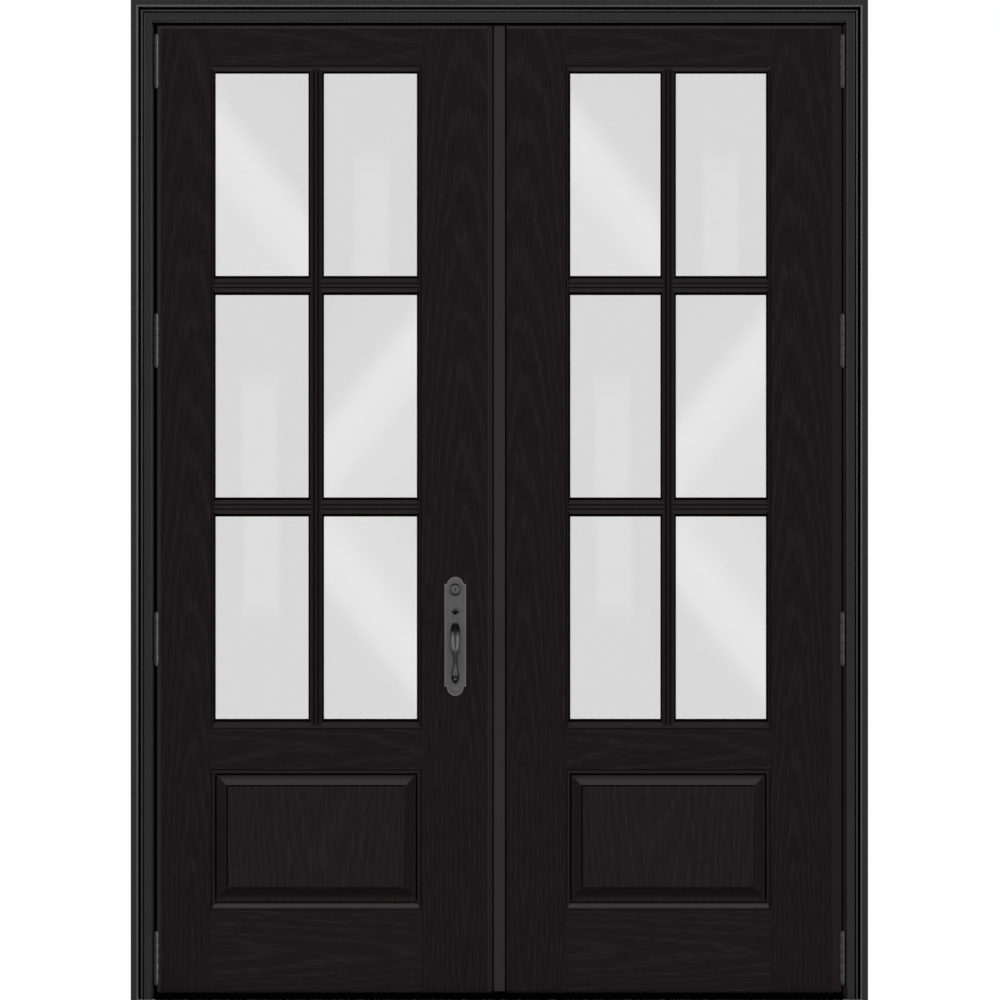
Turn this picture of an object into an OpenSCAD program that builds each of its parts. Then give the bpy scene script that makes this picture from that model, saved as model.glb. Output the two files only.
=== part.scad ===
// A pair of outward-opening french doors in their frame: two glazed leaves over raised panels,
// a strip between them, a thumb-latch handleset, hinges, seals, a moulded casing and a sill.
// X runs along the doorway, -Y faces outdoors, Z is up. The origin is under the middle of the sill,
// in the plane of the leaves' outer faces.

/* [Leaves] */
// Width of each leaf
leaf_w = 841; // [760:1:915]
// Height of each leaf
leaf_h = 2419; // [2100:1:2440]
// Thickness of each leaf
leaf_t = 44.5; // [42:0.5:57]
// Hinge stile of the active leaf
active_hinge_stile_w = 135; // [115:1:200]
// Lock stile of the active leaf
active_lock_stile_w = 178; // [165:1:210]
// Meeting stile of the passive leaf
passive_meeting_stile_w = 149; // [115:1:200]
// Hinge stile of the passive leaf
passive_hinge_stile_w = 178; // [115:1:200]
// Height of the top rail
top_rail_h = 100.5; // [80:0.5:160]
// Height of the lock rail, between panel and glass
lock_rail_h = 101.5; // [80:0.5:160]
// Height of the bottom rail
bottom_rail_h = 204; // [120:1:260]
// Height of the panel's opening
panel_h = 352; // [240:1:480]
// Length of the tenons on the rails
tenon_l = 38; // [25:1:45]
// Thickness of the tenons
tenon_t = 14; // [10:0.5:18]
// Shoulder above and below each tenon
tenon_shoulder = 12; // [8:1:20]
// Chamfer along the upright edges of a leaf
leaf_arris = 1.5; // [0.5:0.1:3]
// Band between the shallow edge groove and the edge
edge_band_w = 9; // [6:0.5:14]
// Width of the shallow edge groove
edge_groove_w = 1.5; // [1:0.1:3]
// Depth of the shallow edge groove
edge_groove_d = 1; // [0.5:0.1:2]

/* [Raised panel] */
// Width of the moulding beside and over the panel
panel_mould_w = 12; // [9:0.5:18]
// Width of the moulding under the panel
panel_mould_low_w = 20; // [9:0.5:26]
// How far the moulding's top lies behind the leaf's face
panel_mould_set = 0.5; // [0.2:0.1:2]
// Depth of the panel's margin behind the leaf's face
panel_margin_d = 11; // [9:0.5:13]
// Width of the groove between moulding and bevel
panel_groove_w = 2.5; // [1:0.5:4]
// Depth of that groove below the bevel's foot
panel_groove_d = 1; // [0.5:0.1:2]
// Width of the hollow bevel around the field
panel_bevel_w = 25; // [18:1:40]
// Width of the flat between groove and bevel under the field
panel_flat_low_w = 7; // [0:0.5:12]
// Rise of the hollow bevel
panel_bevel_rise = 6; // [3:0.5:6]
// Width of the groove between bevel and field
field_groove_w = 3; // [2:0.5:5]
// Depth of that groove below the bevel's upper end
field_groove_d = 2.5; // [1:0.5:4]
// Depth of the field behind the leaf's face
panel_field_d = 1.5; // [0.5:0.1:2.5]
// Width of the quirk along the outer edge of mouldings and beads
mould_quirk_w = 1.8; // [1:0.1:3]
// Depth of the quirk along the outer edge of mouldings and beads
mould_quirk_d = 3; // [1.5:0.5:5]

/* [Glazing] */
// Rows of lites in each leaf
lite_rows = 3; // [1:1:5]
// Columns of lites in each leaf
lite_columns = 2; // [1:1:4]
// Width of the beads beside the glass
bead_side_w = 12; // [10:0.5:24]
// Width of the bead over the glass
bead_top_w = 19; // [10:0.5:28]
// Width of the bead under the glass
bead_bottom_w = 25; // [10:0.5:32]
// Width of an upright bar
bar_upright_w = 39; // [30:0.5:50]
// Width of a level bar
bar_level_w = 48; // [30:0.5:60]
// How far the beads lie behind the leaf's face
bead_set = 0.5; // [0.2:0.1:2]
// How far the bars' roll lies below the beads
bar_set = 0.6; // [0.3:0.1:2]
// Thickness of the beads and bars where they meet the glass
bead_lip = 3; // [2:0.5:4]
// Radius of the roll along the beads
bead_roll_r = 2.5; // [1.5:0.1:3]
// Radius of the roll along the middle of the bars
bar_roll_r = 4; // [2.5:0.1:5]
// Width of the quirk beside the bars' roll
bar_quirk_w = 2.8; // [1.5:0.1:4]
// Depth of the quirk beside the bars' roll
bar_quirk_d = 4; // [2:0.5:6]
// Radius of the bars' shoulders
bar_shoulder_r = 1.8; // [1:0.1:2.5]
// How far the shoulders lie below the roll
bar_shoulder_drop = 1.2; // [0.5:0.1:2]
// Thickness of one pane
pane_t = 3.2; // [3:0.1:5]
// Space between the panes
pane_space = 12.7; // [9:0.1:14]
// Width of the spacer around the panes
spacer_w = 7; // [5:0.5:9]
// Spacer's distance from the panes' edges
spacer_set = 2; // [1:0.5:4]
// Gap around the panes
pane_gap = 3; // [2:0.5:4]

/* [Frame] */
// Gap between a leaf and its jamb
hinge_gap = 3; // [2.5:0.5:5]
// Gap between the leaves and the head
head_gap = 3; // [2:0.5:5]
// Gap between the active leaf and the strip on the passive leaf
meeting_gap = 4; // [3.5:0.5:6]
// Depth of the jambs through the wall
jamb_depth = 116; // [110:1:180]
// Thickness of the jambs beside the leaves
jamb_t = 19; // [18:0.5:32]
// How far the stops stand in from the jambs
stop_w = 12.7; // [11.5:0.1:16]
// Space for the seal between leaf and stop
seal_t = 12.5; // [12:0.5:16]
// Diameter of the seal's bulb
seal_d = 11; // [9:0.5:11.5]
// Width of the slot that holds the seal's barb
kerf_w = 3; // [2.5:0.1:4]
// Depth of that slot
kerf_d = 8; // [6:0.5:12]
// Radius of the fixing holes through the stops
fixing_r = 2.75; // [2:0.05:4]
// Height of the lowest fixing hole
fixing_low_z = 200; // [120:10:400]
// Height of the second fixing hole
fixing_lower_mid_z = 900; // [700:10:1100]
// Height of the third fixing hole
fixing_upper_mid_z = 1600; // [1300:10:1800]
// Height of the highest fixing hole
fixing_high_z = 2000; // [1900:10:2060]

/* [Casing] */
// Width of the casing's face
casing_w = 54; // [48:1:90]
// Thickness of the casing at its outer band
casing_t = 32; // [28:1:40]
// Jamb edge left bare inside the casing
casing_reveal = 8; // [6:0.5:12]
// Width of the outer band
band_w = 19; // [14:0.5:22]
// Radius of the outer band's inner shoulder
band_r = 6; // [3:0.5:8]
// Radius of the outer band's outer edge
band_edge_r = 2; // [1:0.5:4]
// Width of the deep groove
groove_w = 6.5; // [3:0.5:8]
// Height of the deep groove's floor
groove_h = 8; // [5:0.5:9]
// Width of the thin ridge
ridge_w = 3.5; // [3:0.5:6]
// Height of the thin ridge
ridge_h = 20; // [18:0.5:24]
// Width of the quirk inside the ridge
quirk_w = 2.5; // [1.5:0.1:4]
// Height of the quirk's floor
quirk_h = 11; // [9.5:0.5:13]
// Height of the flat inner face
face_h = 16; // [14:0.5:18]
// Radius of the inner face's edges
face_r = 3; // [1.5:0.5:4]

/* [Sill] */
// Height of the deck under the leaves
sill_deck_h = 17; // [14:0.5:24]
// Gap between deck and leaves
sill_gap = 4.5; // [3.5:0.1:7]
// How far the sill's nose stands out
sill_nose = 40; // [20:1:60]
// Height of the nose's front
sill_nose_h = 8; // [4:0.5:12]
// Height of the riser behind the leaves
riser_h = 36; // [32:0.5:44]
// Depth of the riser
riser_w = 12; // [9.5:0.5:20]
// Height of the sill's inner edge
tread_h = 22; // [16:0.5:30]
// Thickness of the sill's walls
sill_wall = 2.5; // [2:0.1:4]
// Depth of the bumper seal between leaf and riser
bumper_t = 3.5; // [3:0.1:5]
// Height of the bumper seal
bumper_h = 11; // [8:0.5:12]
// Thickness of the sweep's base
sweep_t = 2; // [1.5:0.1:3]
// Thickness of the sweep's fins
sweep_fin_t = 1.2; // [0.8:0.1:2]
// Fins' distance from the sweep's edges and from the middle
sweep_fin_pitch = 14; // [8:0.5:16]
// Sweep's distance from the leaf's faces
sweep_set = 2; // [1:0.5:5]

/* [Hinges] */
// Height of a hinge
hinge_h = 127; // [100:1:140]
// Depth of a hinge plate
plate_w = 38; // [32:0.5:40]
// Thickness of a hinge plate
plate_t = 3.2; // [2.5:0.1:4]
// Radius of the hinge barrel
barrel_r = 6; // [5:0.1:7]
// Space between barrel and leaf face
barrel_space = 0.5; // [0.4:0.1:2]
// Radius of the hinge pin
pin_r = 3; // [2.5:0.1:3.5]
// Height of the pin's buttons
button_h = 4; // [2:0.5:6]
// Radius of the pin's buttons
button_r = 5; // [4:0.1:6]
// Gap between knuckles
knuckle_gap = 0.4; // [0.2:0.1:1]
// Height of the lowest hinge's middle on the leaf
hinge_low_z = 83; // [75:1:160]
// Height of the second hinge's middle
hinge_lower_mid_z = 883; // [700:1:950]
// Height of the third hinge's middle
hinge_upper_mid_z = 1630; // [1400:1:1800]
// Drop of the highest hinge's middle below the leaf's top
hinge_top_drop = 89; // [75:1:220]
// Upright distance between hinge screws
screw_pitch = 30; // [24:0.5:32]
// Distance of the near screws from the barrel-side edge
screw_near = 12; // [9:0.5:14]
// Distance of the far screws from the barrel-side edge
screw_far = 27; // [22:0.5:28]
// Radius of the screws' shanks
shank_r = 2.2; // [1.5:0.1:2.5]
// Radius of the screws' heads
screw_head_r = 4.2; // [3.5:0.1:4.5]
// Depth of the screws' heads
screw_head_d = 2.2; // [1.5:0.1:2.4]
// Length of the screws in the leaves
leaf_screw_l = 32; // [20:1:40]
// Wood left behind the screws in the jambs
jamb_screw_cover = 3; // [2:0.5:6]

/* [Strip between the leaves] */
// Width of the strip
astragal_w = 30; // [28:0.5:44]
// How far the strip stands out of the leaves' faces
astragal_proud = 1; // [0.5:0.5:4]
// Thickness of the strip's walls
astragal_wall = 2.5; // [2:0.1:3]
// Chamfer along the strip's edges
astragal_arris = 1.2; // [0.5:0.1:2]
// Width of the quirk between strip and passive leaf
strip_quirk_w = 3.5; // [2:0.5:5]
// Depth of the quirk between strip and passive leaf
strip_quirk_d = 6; // [3:0.5:9]
// Distance of the strip's seal from the leaves' faces
meeting_seal_y = 5.5; // [4:0.5:7]
// Thickness of the strike plate
strike_t = 1.5; // [1:0.1:2]
// Width of the strike plate
strike_w = 26; // [20:1:30]
// Strike plate beyond the bolts' holes
strike_end = 18; // [10:1:30]
// Radius of the flush bolts
flush_bolt_r = 5; // [4:0.1:6]
// Length of the flush bolts
flush_bolt_l = 300; // [200:5:400]
// Travel of the flush bolts
flush_bolt_throw = 16; // [12:0.5:18]
// Setback of the flush bolts' ends
flush_bolt_set = 1; // [0.5:0.5:2]
// Height of the guide blocks in the strip's ends
guide_h = 40; // [25:1:60]
// Height of a flush bolt's slide
slide_h = 24; // [18:1:40]
// Thickness of a flush bolt's slide
slide_t = 13; // [10:0.5:16]
// Height of the thumb button on a slide
thumb_h = 14; // [10:0.5:18]
// Width of the thumb button
thumb_w = 7; // [5:0.5:9]
// How far the thumb button stands out of the strip
thumb_out = 1.2; // [0.8:0.1:1.8]
// Length of the keeper in the head
keeper_l = 50; // [36:1:70]
// Width of the keeper
keeper_w = 24; // [18:1:30]
// Thickness of the keeper
keeper_t = 2; // [1:0.5:3]

/* [Lock] */
// Distance of the handleset's middle from the lock edge
backset = 93.5; // [80:0.5:105]
// Height of latch, thumbpiece and knob on the leaf
latch_z = 947; // [920:1:960]
// Height of the deadbolt above the latch
deadbolt_up = 59.5; // [54:0.5:70]
// Lock case beyond the handleset's middle
case_back = 21.5; // [17:0.5:30]
// Thickness of the lock case
case_t = 18; // [17:0.5:22]
// Lock case below the latch
case_down = 42; // [30:1:60]
// Lock case above the deadbolt
case_up = 38; // [20:1:60]
// Thickness of the lock's faceplate
face_t = 3; // [2:0.5:4]
// Width of the lock's faceplate
faceplate_w = 25; // [22:0.5:32]
// Faceplate above and below the case
face_end = 14; // [8:1:25]
// Thickness of the bolts
bolt_t = 12; // [9:0.5:13]
// Height of the deadbolt
deadbolt_h = 24; // [18:0.5:28]
// Length of the deadbolt
deadbolt_l = 60; // [50:1:64]
// Height of the latch bolt
latch_h = 18; // [14:0.5:22]
// Length of the latch bolt
latch_l = 44; // [30:1:60]
// Length of the latch bolt's slope
latch_slope = 11; // [6:0.5:12]
// Setback of the bolts' ends
bolt_set = 0.5; // [0.3:0.1:1]
// Radius of the lock cylinder
cylinder_r = 13; // [12:0.1:14]
// Radius of the cylinder's collar
collar_r = 15.5; // [15:0.1:18]
// How far the collar stands out of the plate
collar_h = 7; // [4:0.5:12]
// Radius of the key plug
plug_r = 6.5; // [5:0.1:8]
// How far the key plug stands out of the collar
plug_out = 1; // [0.5:0.5:2]
// Width of the keyway
keyway_w = 2; // [1.5:0.1:2.5]
// Height of the keyway
keyway_h = 8; // [6:0.5:9]
// Depth of the keyway
keyway_d = 20; // [10:1:22]

/* [Handleset] */
// Width of the plates
trim_w = 53.5; // [48:0.5:64]
// Height of the plates' straight sides
trim_h = 257; // [240:1:300]
// Thickness of the plates
trim_t = 4; // [3:0.5:6]
// Thickness of the plates at their edge
trim_edge_t = 2.2; // [1.5:0.1:2.8]
// Width of the step around the plates
trim_step = 2.5; // [1.5:0.1:4]
// Radius of the round ends of the plates
lobe_r = 20.5; // [18:0.5:24]
// Drop of the round ends' centres below the ends of the straight sides
lobe_drop = 2.5; // [0:0.5:6]
// Plate's straight sides above the deadbolt
trim_up = 14; // [6:0.5:20]
// Height of the grip
grip_h = 144; // [130:1:170]
// Gap between thumbpiece's middle and the grip's top
grip_drop = 27; // [24:0.5:34]
// How far the grip's middle stands out of the plate
grip_bow = 44; // [35:0.5:60]
// Half width of the grip's upper part
grip_wide = 12; // [9:0.5:16]
// Half width of the grip's waist
grip_waist = 5; // [4:0.5:8]
// Half width of the grip's foot
grip_foot = 10.5; // [7:0.5:13]
// Half thickness of the grip
grip_thick = 5; // [4:0.5:7]
// Width of the thumbpiece's stem
stem_w = 7; // [5:0.5:8]
// Reach of the thumbpiece from the leaf's face
thumbpiece_l = 32; // [24:1:40]
// Radius of the thumbpiece's pad
pad_r = 9; // [7:0.5:12]
// Thickness of the thumbpiece
thumbpiece_t = 4; // [3:0.5:5]
// Rise of the thumbpiece while it is pressed, in degrees
thumbpiece_rise = 10; // [0:1:15]
// Length of the thumbpiece's tail behind the leaf's face
tail_l = 15; // [10:0.5:15.5]
// Radius of the thumbpiece's pivot
pivot_r = 2; // [1.5:0.1:2.5]
// Length of the thumbpiece's pivot
pivot_l = 16; // [12:0.5:20]
// Height of the slot for the thumbpiece
thumb_slot_h = 24; // [18:0.5:30]
// Radius of the knob
knob_r = 27; // [22:0.5:32]
// Thickness of the knob
knob_t = 28; // [20:0.5:36]
// Length of the knob's neck
neck_l = 26; // [18:0.5:36]
// Radius of the knob's neck
neck_r = 10; // [8:0.5:14]
// Radius of the knob's foot
knob_foot_r = 17; // [14:0.5:22]
// Height of the knob's foot
knob_foot_h = 2.5; // [1.5:0.5:5]
// Radius of the knob's spindle
spindle_r = 4; // [3:0.1:5]
// Radius of the thumbturn's base
turn_base_r = 14; // [10:0.5:16]
// Height of the thumbturn's base
turn_base_h = 5; // [3:0.5:8]
// Length of the thumbturn's wing
wing_l = 34; // [24:0.5:40]
// Thickness of the thumbturn's wing
wing_t = 7; // [5:0.5:10]
// How far the wing stands out of its base
wing_out = 17; // [10:0.5:24]
// Radius of the trim screws' heads
trim_screw_r = 4; // [3:0.1:5]
// Height of the trim screws' heads
trim_screw_h = 2; // [1:0.1:3]
// Trim screws' distance from the plates' round ends
trim_screw_in = 8; // [5.5:0.5:9]

/* [Clearances] */
// Open joint between mitred or coped sticks
joint_gap = 0.1; // [0.05:0.05:0.3]
// Space between glued or let-in pieces
fit = 0.2; // [0.1:0.05:0.4]
// Space around sliding bolts
slide_fit = 0.3; // [0.2:0.05:0.5]
// Space around pins and shafts
turn_fit = 0.06; // [0.03:0.01:0.1]
// Space in the lock stile around what passes through it
pass_fit = 1; // [0.5:0.1:1.5]
// Space between a seal and what it seals
seal_clear = 0.3; // [0.2:0.05:0.5]
// Space between the strip's seal and the active leaf, whose edge comes closer as it swings
meeting_seal_clear = 1.8; // [1.6:0.1:2.5]

/* [Hidden] */
$fn = 64;
cut = 1;
leaf_x = leaf_w + (astragal_w + meeting_gap) / 2;
jamb_x = leaf_x + hinge_gap;
jamb_back_x = jamb_x + jamb_t;
stop_x = jamb_x - stop_w;
stop_y = leaf_t + seal_t;
casing_in_x = jamb_x + casing_reveal;
casing_out_x = casing_in_x + casing_w;
leaf_z = sill_deck_h + sill_gap;
head_z = leaf_z + leaf_h + head_gap;
casing_in_z = head_z + casing_reveal;
casing_out_z = casing_in_z + casing_w;
casing_face_w = casing_w - band_w - groove_w - ridge_w - quirk_w;
bumper_y = leaf_t + bumper_t;
fixing_y = (stop_y + jamb_depth) / 2;
fixing_zs = [fixing_low_z, fixing_lower_mid_z, fixing_upper_mid_z, fixing_high_z];
seal_r = seal_d / 2;
mid_y = leaf_t / 2;
panel_low = bottom_rail_h;
panel_high = bottom_rail_h + panel_h;
lite_low = panel_high + lock_rail_h;
lite_high = leaf_h - top_rail_h;
rail_spans = [[0, panel_low], [panel_high, lite_low], [lite_high, leaf_h]];
panel_foot_d = panel_margin_d - panel_groove_d;
panel_side = [panel_mould_w + panel_groove_w, panel_mould_w + panel_groove_w];
panel_under = [panel_mould_low_w + panel_groove_w, panel_mould_low_w + panel_groove_w + panel_flat_low_w];
bevel_r = arc_r(panel_bevel_w, panel_bevel_rise);
panel_edge_d = panel_foot_d - panel_bevel_rise;
panel_flat_d = (panel_foot_d + panel_margin_d) / 2;
groove_lap = field_groove_w / 6;
mould_h = panel_margin_d - panel_mould_set;
glass_y = mid_y - pane_space / 2 - pane_t;
bead_h = glass_y - bead_set;
bead_roll_x = mould_quirk_w + 2 * bead_roll_r;
bar_h = bead_h - bar_set;
bar_shoulder_h = bar_h - bar_shoulder_drop;
bar_shoulder_x = bar_roll_r + bar_quirk_w + 2 * bar_shoulder_r;
axis_x = -hinge_gap / 2;
axis_y = -barrel_r - barrel_space;
knuckles = 5;
knuckle_h = (hinge_h - (knuckles - 1) * knuckle_gap) / knuckles;
hinge_zs = [hinge_low_z, hinge_lower_mid_z, hinge_upper_mid_z, leaf_h - hinge_top_drop];
jamb_screw_l = jamb_t - jamb_screw_cover;
astragal_edge = leaf_w + astragal_w;
flush_x = leaf_w + astragal_w / 2;
flush_bolt_x = leaf_x - flush_x;
lock_x = leaf_w - backset;
deadbolt_z = latch_z + deadbolt_up;
case_d = backset - face_t + case_back;
case_low = latch_z - case_down;
case_high = deadbolt_z + case_up;
case_y = mid_y - case_t / 2;
cylinder_end_y = mid_y + case_t / 4;
trim_high = deadbolt_z + trim_up;
trim_low = trim_high - trim_h;
lobe_high = trim_high - lobe_drop;
lobe_low = trim_low - lobe_drop;
trim_screw_zs = [lobe_low - lobe_r + trim_screw_in, lobe_high + lobe_r - trim_screw_in];
trim_screw_l = case_y - fit - pass_fit;
pivot_y = pivot_r + fit;
grip_top = latch_z - grip_drop;
grip_rings = 28;
grip_sides = 20;
frame_grey = [0.18, 0.18, 0.18];
leaf_black = [0.12, 0.105, 0.11];
strip_grey = [0.2, 0.185, 0.19];
pewter = [0.32, 0.315, 0.32];
steel = [0.5, 0.5, 0.51];
sill_black = [0.03, 0.03, 0.03];
seal_black = [0.06, 0.06, 0.06];
glass_tint = [0.85, 0.88, 0.87, 0.4];

// Leaf pieces are drawn with x from the hinge edge, y from the outer face and z from the leaf's bottom
module on_active() {
    translate([-leaf_x, 0, leaf_z])
        children();
}

module on_passive() {
    mirror([1, 0, 0])
        translate([-leaf_x, 0, leaf_z])
            children();
}

module on_both_sides() {
    on_active()
        children();
    on_passive()
        children();
}

// Turns a leaf's outer side into its inner side
module inside_out() {
    translate([0, leaf_t, 0])
        mirror([0, 1, 0])
            children();
}

// A plane drawing becomes upright, seen from outdoors, and its height points outdoors
module stand_up(y) {
    translate([0, y, 0])
        rotate([90, 0, 0])
            children();
}

// A profile drawn in y and z, swept along x
module sweep_x(from_x, to_x) {
    translate([from_x, 0, 0])
        rotate([90, 0, 90])
            linear_extrude(to_x - from_x)
                children();
}

// A round bar along y
module bar_y(x, z, from_y, to_y, r) {
    translate([x, to_y, z])
        rotate([90, 0, 0])
            cylinder(r = r, h = to_y - from_y);
}

// Frame
module jamb_section() {
    difference() {
        union() {
            translate([-jamb_back_x, 0])
                square([jamb_t, jamb_depth]);
            translate([-jamb_back_x, stop_y])
                square([jamb_t + stop_w, jamb_depth - stop_y]);
        }
        translate([-jamb_x, stop_y - cut])
            square([kerf_w, kerf_d + cut]);
    }
}

module hinge_mortise(from_x) {
    for (z = hinge_zs)
        translate([from_x, -cut, z - hinge_h / 2 - fit])
            cube([plate_t + cut, plate_w + fit + cut, hinge_h + 2 * fit]);
}

module side_jamb() {
    difference() {
        linear_extrude(head_z)
            jamb_section();
        on_active() {
            hinge_mortise(-hinge_gap - plate_t);
            hinge_screw_holes(-hinge_gap, -1, jamb_screw_l + fit);
        }
        for (z = fixing_zs)
            translate([-jamb_back_x - cut, fixing_y, z])
                rotate([0, 90, 0])
                    cylinder(r = fixing_r, h = jamb_t + stop_w + 2 * cut);
    }
}

module left_jamb() {
    color(frame_grey)
        side_jamb();
}

module right_jamb() {
    color(frame_grey)
        mirror([1, 0, 0])
            side_jamb();
}

module head_jamb() {
    color(frame_grey)
        difference() {
            union() {
                translate([-jamb_back_x, 0, head_z])
                    cube([2 * jamb_back_x, jamb_depth, jamb_t]);
                translate([-stop_x, stop_y, head_z - stop_w])
                    cube([2 * stop_x, jamb_depth - stop_y, jamb_t + stop_w]);
            }
            translate([-stop_x - cut, stop_y - cut, head_z - kerf_w])
                cube([2 * (stop_x + cut), kerf_d + cut, kerf_w]);
            translate([flush_bolt_x - keeper_l / 2 - fit, mid_y - keeper_w / 2 - fit, head_z - cut])
                cube([keeper_l + 2 * fit, keeper_w + 2 * fit, keeper_t + cut]);
            translate([flush_bolt_x, mid_y, head_z])
                cylinder(r = flush_bolt_r + 3 * slide_fit, h = flush_bolt_throw - head_gap + slide_fit);
        }
}

module head_keeper() {
    color(steel)
        difference() {
            translate([flush_bolt_x - keeper_l / 2, mid_y - keeper_w / 2, head_z])
                cube([keeper_l, keeper_w, keeper_t]);
            translate([flush_bolt_x, mid_y, head_z - cut])
                cylinder(r = flush_bolt_r + 2 * slide_fit, h = keeper_t + 2 * cut);
        }
}

// Casing profile from its inner edge outwards, with its back on y = 0
module casing_section() {
    square([casing_w, groove_h]);
    square([casing_face_w, face_h - face_r]);
    translate([face_r, 0])
        square([casing_face_w - 2 * face_r, face_h]);
    for (x = [face_r, casing_face_w - face_r])
        translate([x, face_h - face_r])
            circle(face_r);
    translate([casing_face_w - face_r, 0])
        square([quirk_w + face_r + ridge_w / 2, quirk_h]);
    translate([casing_face_w + quirk_w, 0])
        square([ridge_w, ridge_h - ridge_w / 2]);
    translate([casing_face_w + quirk_w + ridge_w / 2, ridge_h - ridge_w / 2])
        circle(ridge_w / 2);
    translate([casing_w - band_w, 0]) {
        square([band_w, casing_t - band_r]);
        translate([band_r, 0])
            square([band_w - band_r, casing_t - band_edge_r]);
        translate([band_r, 0])
            square([band_w - band_r - band_edge_r, casing_t]);
        translate([band_r, casing_t - band_r])
            circle(band_r);
        translate([band_w - band_edge_r, casing_t - band_edge_r])
            circle(band_edge_r);
    }
}

module casing_mitre(points) {
    stand_up(cut)
        linear_extrude(casing_t + 2 * cut)
            polygon(points);
}

module side_casing() {
    intersection() {
        linear_extrude(casing_out_z)
            translate([-casing_in_x, 0])
                rotate(180)
                    casing_section();
        casing_mitre([
            [-casing_out_x, 0], [-casing_in_x, 0], [-casing_in_x, casing_in_z], [-casing_out_x, casing_out_z]
        ]);
    }
}

module left_casing() {
    color(frame_grey)
        side_casing();
}

module right_casing() {
    color(frame_grey)
        mirror([1, 0, 0])
            side_casing();
}

module head_casing() {
    color(frame_grey)
        intersection() {
            translate([0, 0, casing_in_z])
                rotate([90, 0, 0])
                    sweep_x(-casing_out_x, casing_out_x)
                        casing_section();
            casing_mitre([
                [-casing_in_x, casing_in_z], [casing_in_x, casing_in_z],
                [casing_out_x, casing_out_z], [-casing_out_x, casing_out_z]
            ]);
        }
}

module sill_section() {
    difference() {
        polygon([
            [-sill_nose, 0], [-sill_nose, sill_nose_h], [0, sill_deck_h], [bumper_y, sill_deck_h],
            [bumper_y, riser_h], [bumper_y + riser_w, riser_h], [jamb_depth, tread_h], [jamb_depth, 0]
        ]);
        translate([sill_wall, sill_wall])
            square([bumper_y - 2 * sill_wall, sill_deck_h - 2 * sill_wall]);
        translate([bumper_y + sill_wall, sill_wall])
            square([jamb_depth - bumper_y - 2 * sill_wall, tread_h - 2 * sill_wall]);
    }
}

module sill() {
    color(sill_black)
        difference() {
            sweep_x(-jamb_x, jamb_x)
                sill_section();
            for (side = [-1, 1])
                translate([side * (stop_x + stop_w / 2 + cut / 2) - (stop_w + cut) / 2, stop_y, -cut])
                    cube([stop_w + cut, jamb_depth, riser_h + 2 * cut]);
            translate([flush_bolt_x, mid_y, sill_deck_h - sill_wall - cut])
                cylinder(r = flush_bolt_r + 2 * slide_fit, h = sill_wall + 2 * cut);
        }
}

module sill_bumper() {
    bulb_r = (bumper_t - seal_clear) / 2;
    color(seal_black)
        sweep_x(-jamb_x, jamb_x) {
            translate([bumper_y - bulb_r, riser_h - bumper_h - fit])
                square([bulb_r, bumper_h]);
            translate([bumper_y - bulb_r, riser_h - bumper_h / 2 - fit])
                circle(bulb_r);
        }
}

// Seal profile with its corner in the corner of jamb and stop
module seal_section() {
    translate([seal_r, seal_clear + seal_r - seal_t])
        circle(seal_r);
    translate([0, seal_clear + seal_r - seal_t])
        square([seal_d, seal_t - seal_r - seal_clear]);
    translate([fit, -cut])
        square([kerf_w - 2 * fit, kerf_d + cut - fit]);
}

module side_seal() {
    translate([-jamb_x, stop_y, riser_h])
        linear_extrude(head_z - riser_h)
            seal_section();
}

module weatherstrip() {
    color(seal_black) {
        side_seal();
        mirror([1, 0, 0])
            side_seal();
        sweep_x(fit - stop_x, stop_x - fit)
            translate([stop_y, head_z])
                rotate(-90)
                    seal_section();
    }
}

// Hinges
module hinge_screw_places() {
    for (z = hinge_zs, i = [0 : 3])
        translate([0, i % 2 == 0 ? screw_near : screw_far, z + (i - 1.5) * screw_pitch])
            children();
}

module along_x(direction) {
    rotate([0, 90 * direction, 0])
        children();
}

module hinge_screw_holes(from_x, direction, length) {
    translate([from_x, 0, 0])
        hinge_screw_places()
            along_x(direction)
                cylinder(r = shank_r + turn_fit, h = length);
}

module hinge_screws(from_x, direction, length) {
    translate([from_x, 0, 0])
        hinge_screw_places()
            along_x(direction) {
                cylinder(r = shank_r, h = length);
                cylinder(r1 = screw_head_r, r2 = shank_r, h = screw_head_d);
            }
}

// Half a hinge: a plate whose bare face lies at face_x and faces away from direction
module hinge_half(face_x, direction, first_knuckle) {
    from_x = direction > 0 ? face_x : face_x - plate_t;
    difference() {
        for (z = hinge_zs)
            difference() {
                union() {
                    translate([from_x, 0, z - hinge_h / 2])
                        cube([plate_t, plate_w, hinge_h]);
                    for (k = [first_knuckle : 2 : knuckles - 1])
                        translate([0, axis_y, z - hinge_h / 2 + k * (knuckle_h + knuckle_gap)]) {
                            translate([from_x, 0, 0])
                                cube([plate_t, cut - axis_y, knuckle_h]);
                            translate([axis_x, 0, 0])
                                cylinder(r = barrel_r, h = knuckle_h);
                        }
                }
                translate([axis_x, axis_y, z - hinge_h / 2 - cut])
                    cylinder(r = pin_r + turn_fit, h = hinge_h + 2 * cut);
            }
        hinge_screw_holes(face_x, direction, plate_t + cut);
        translate([face_x, 0, 0])
            hinge_screw_places()
                along_x(direction)
                    cylinder(r1 = screw_head_r + turn_fit, r2 = shank_r + turn_fit, h = screw_head_d);
    }
}

module frame_hinge_plates() {
    color(pewter)
        on_both_sides()
            hinge_half(-hinge_gap, -1, 0);
}

module frame_hinge_screws() {
    color(steel)
        on_both_sides()
            hinge_screws(-hinge_gap, -1, jamb_screw_l);
}

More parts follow.
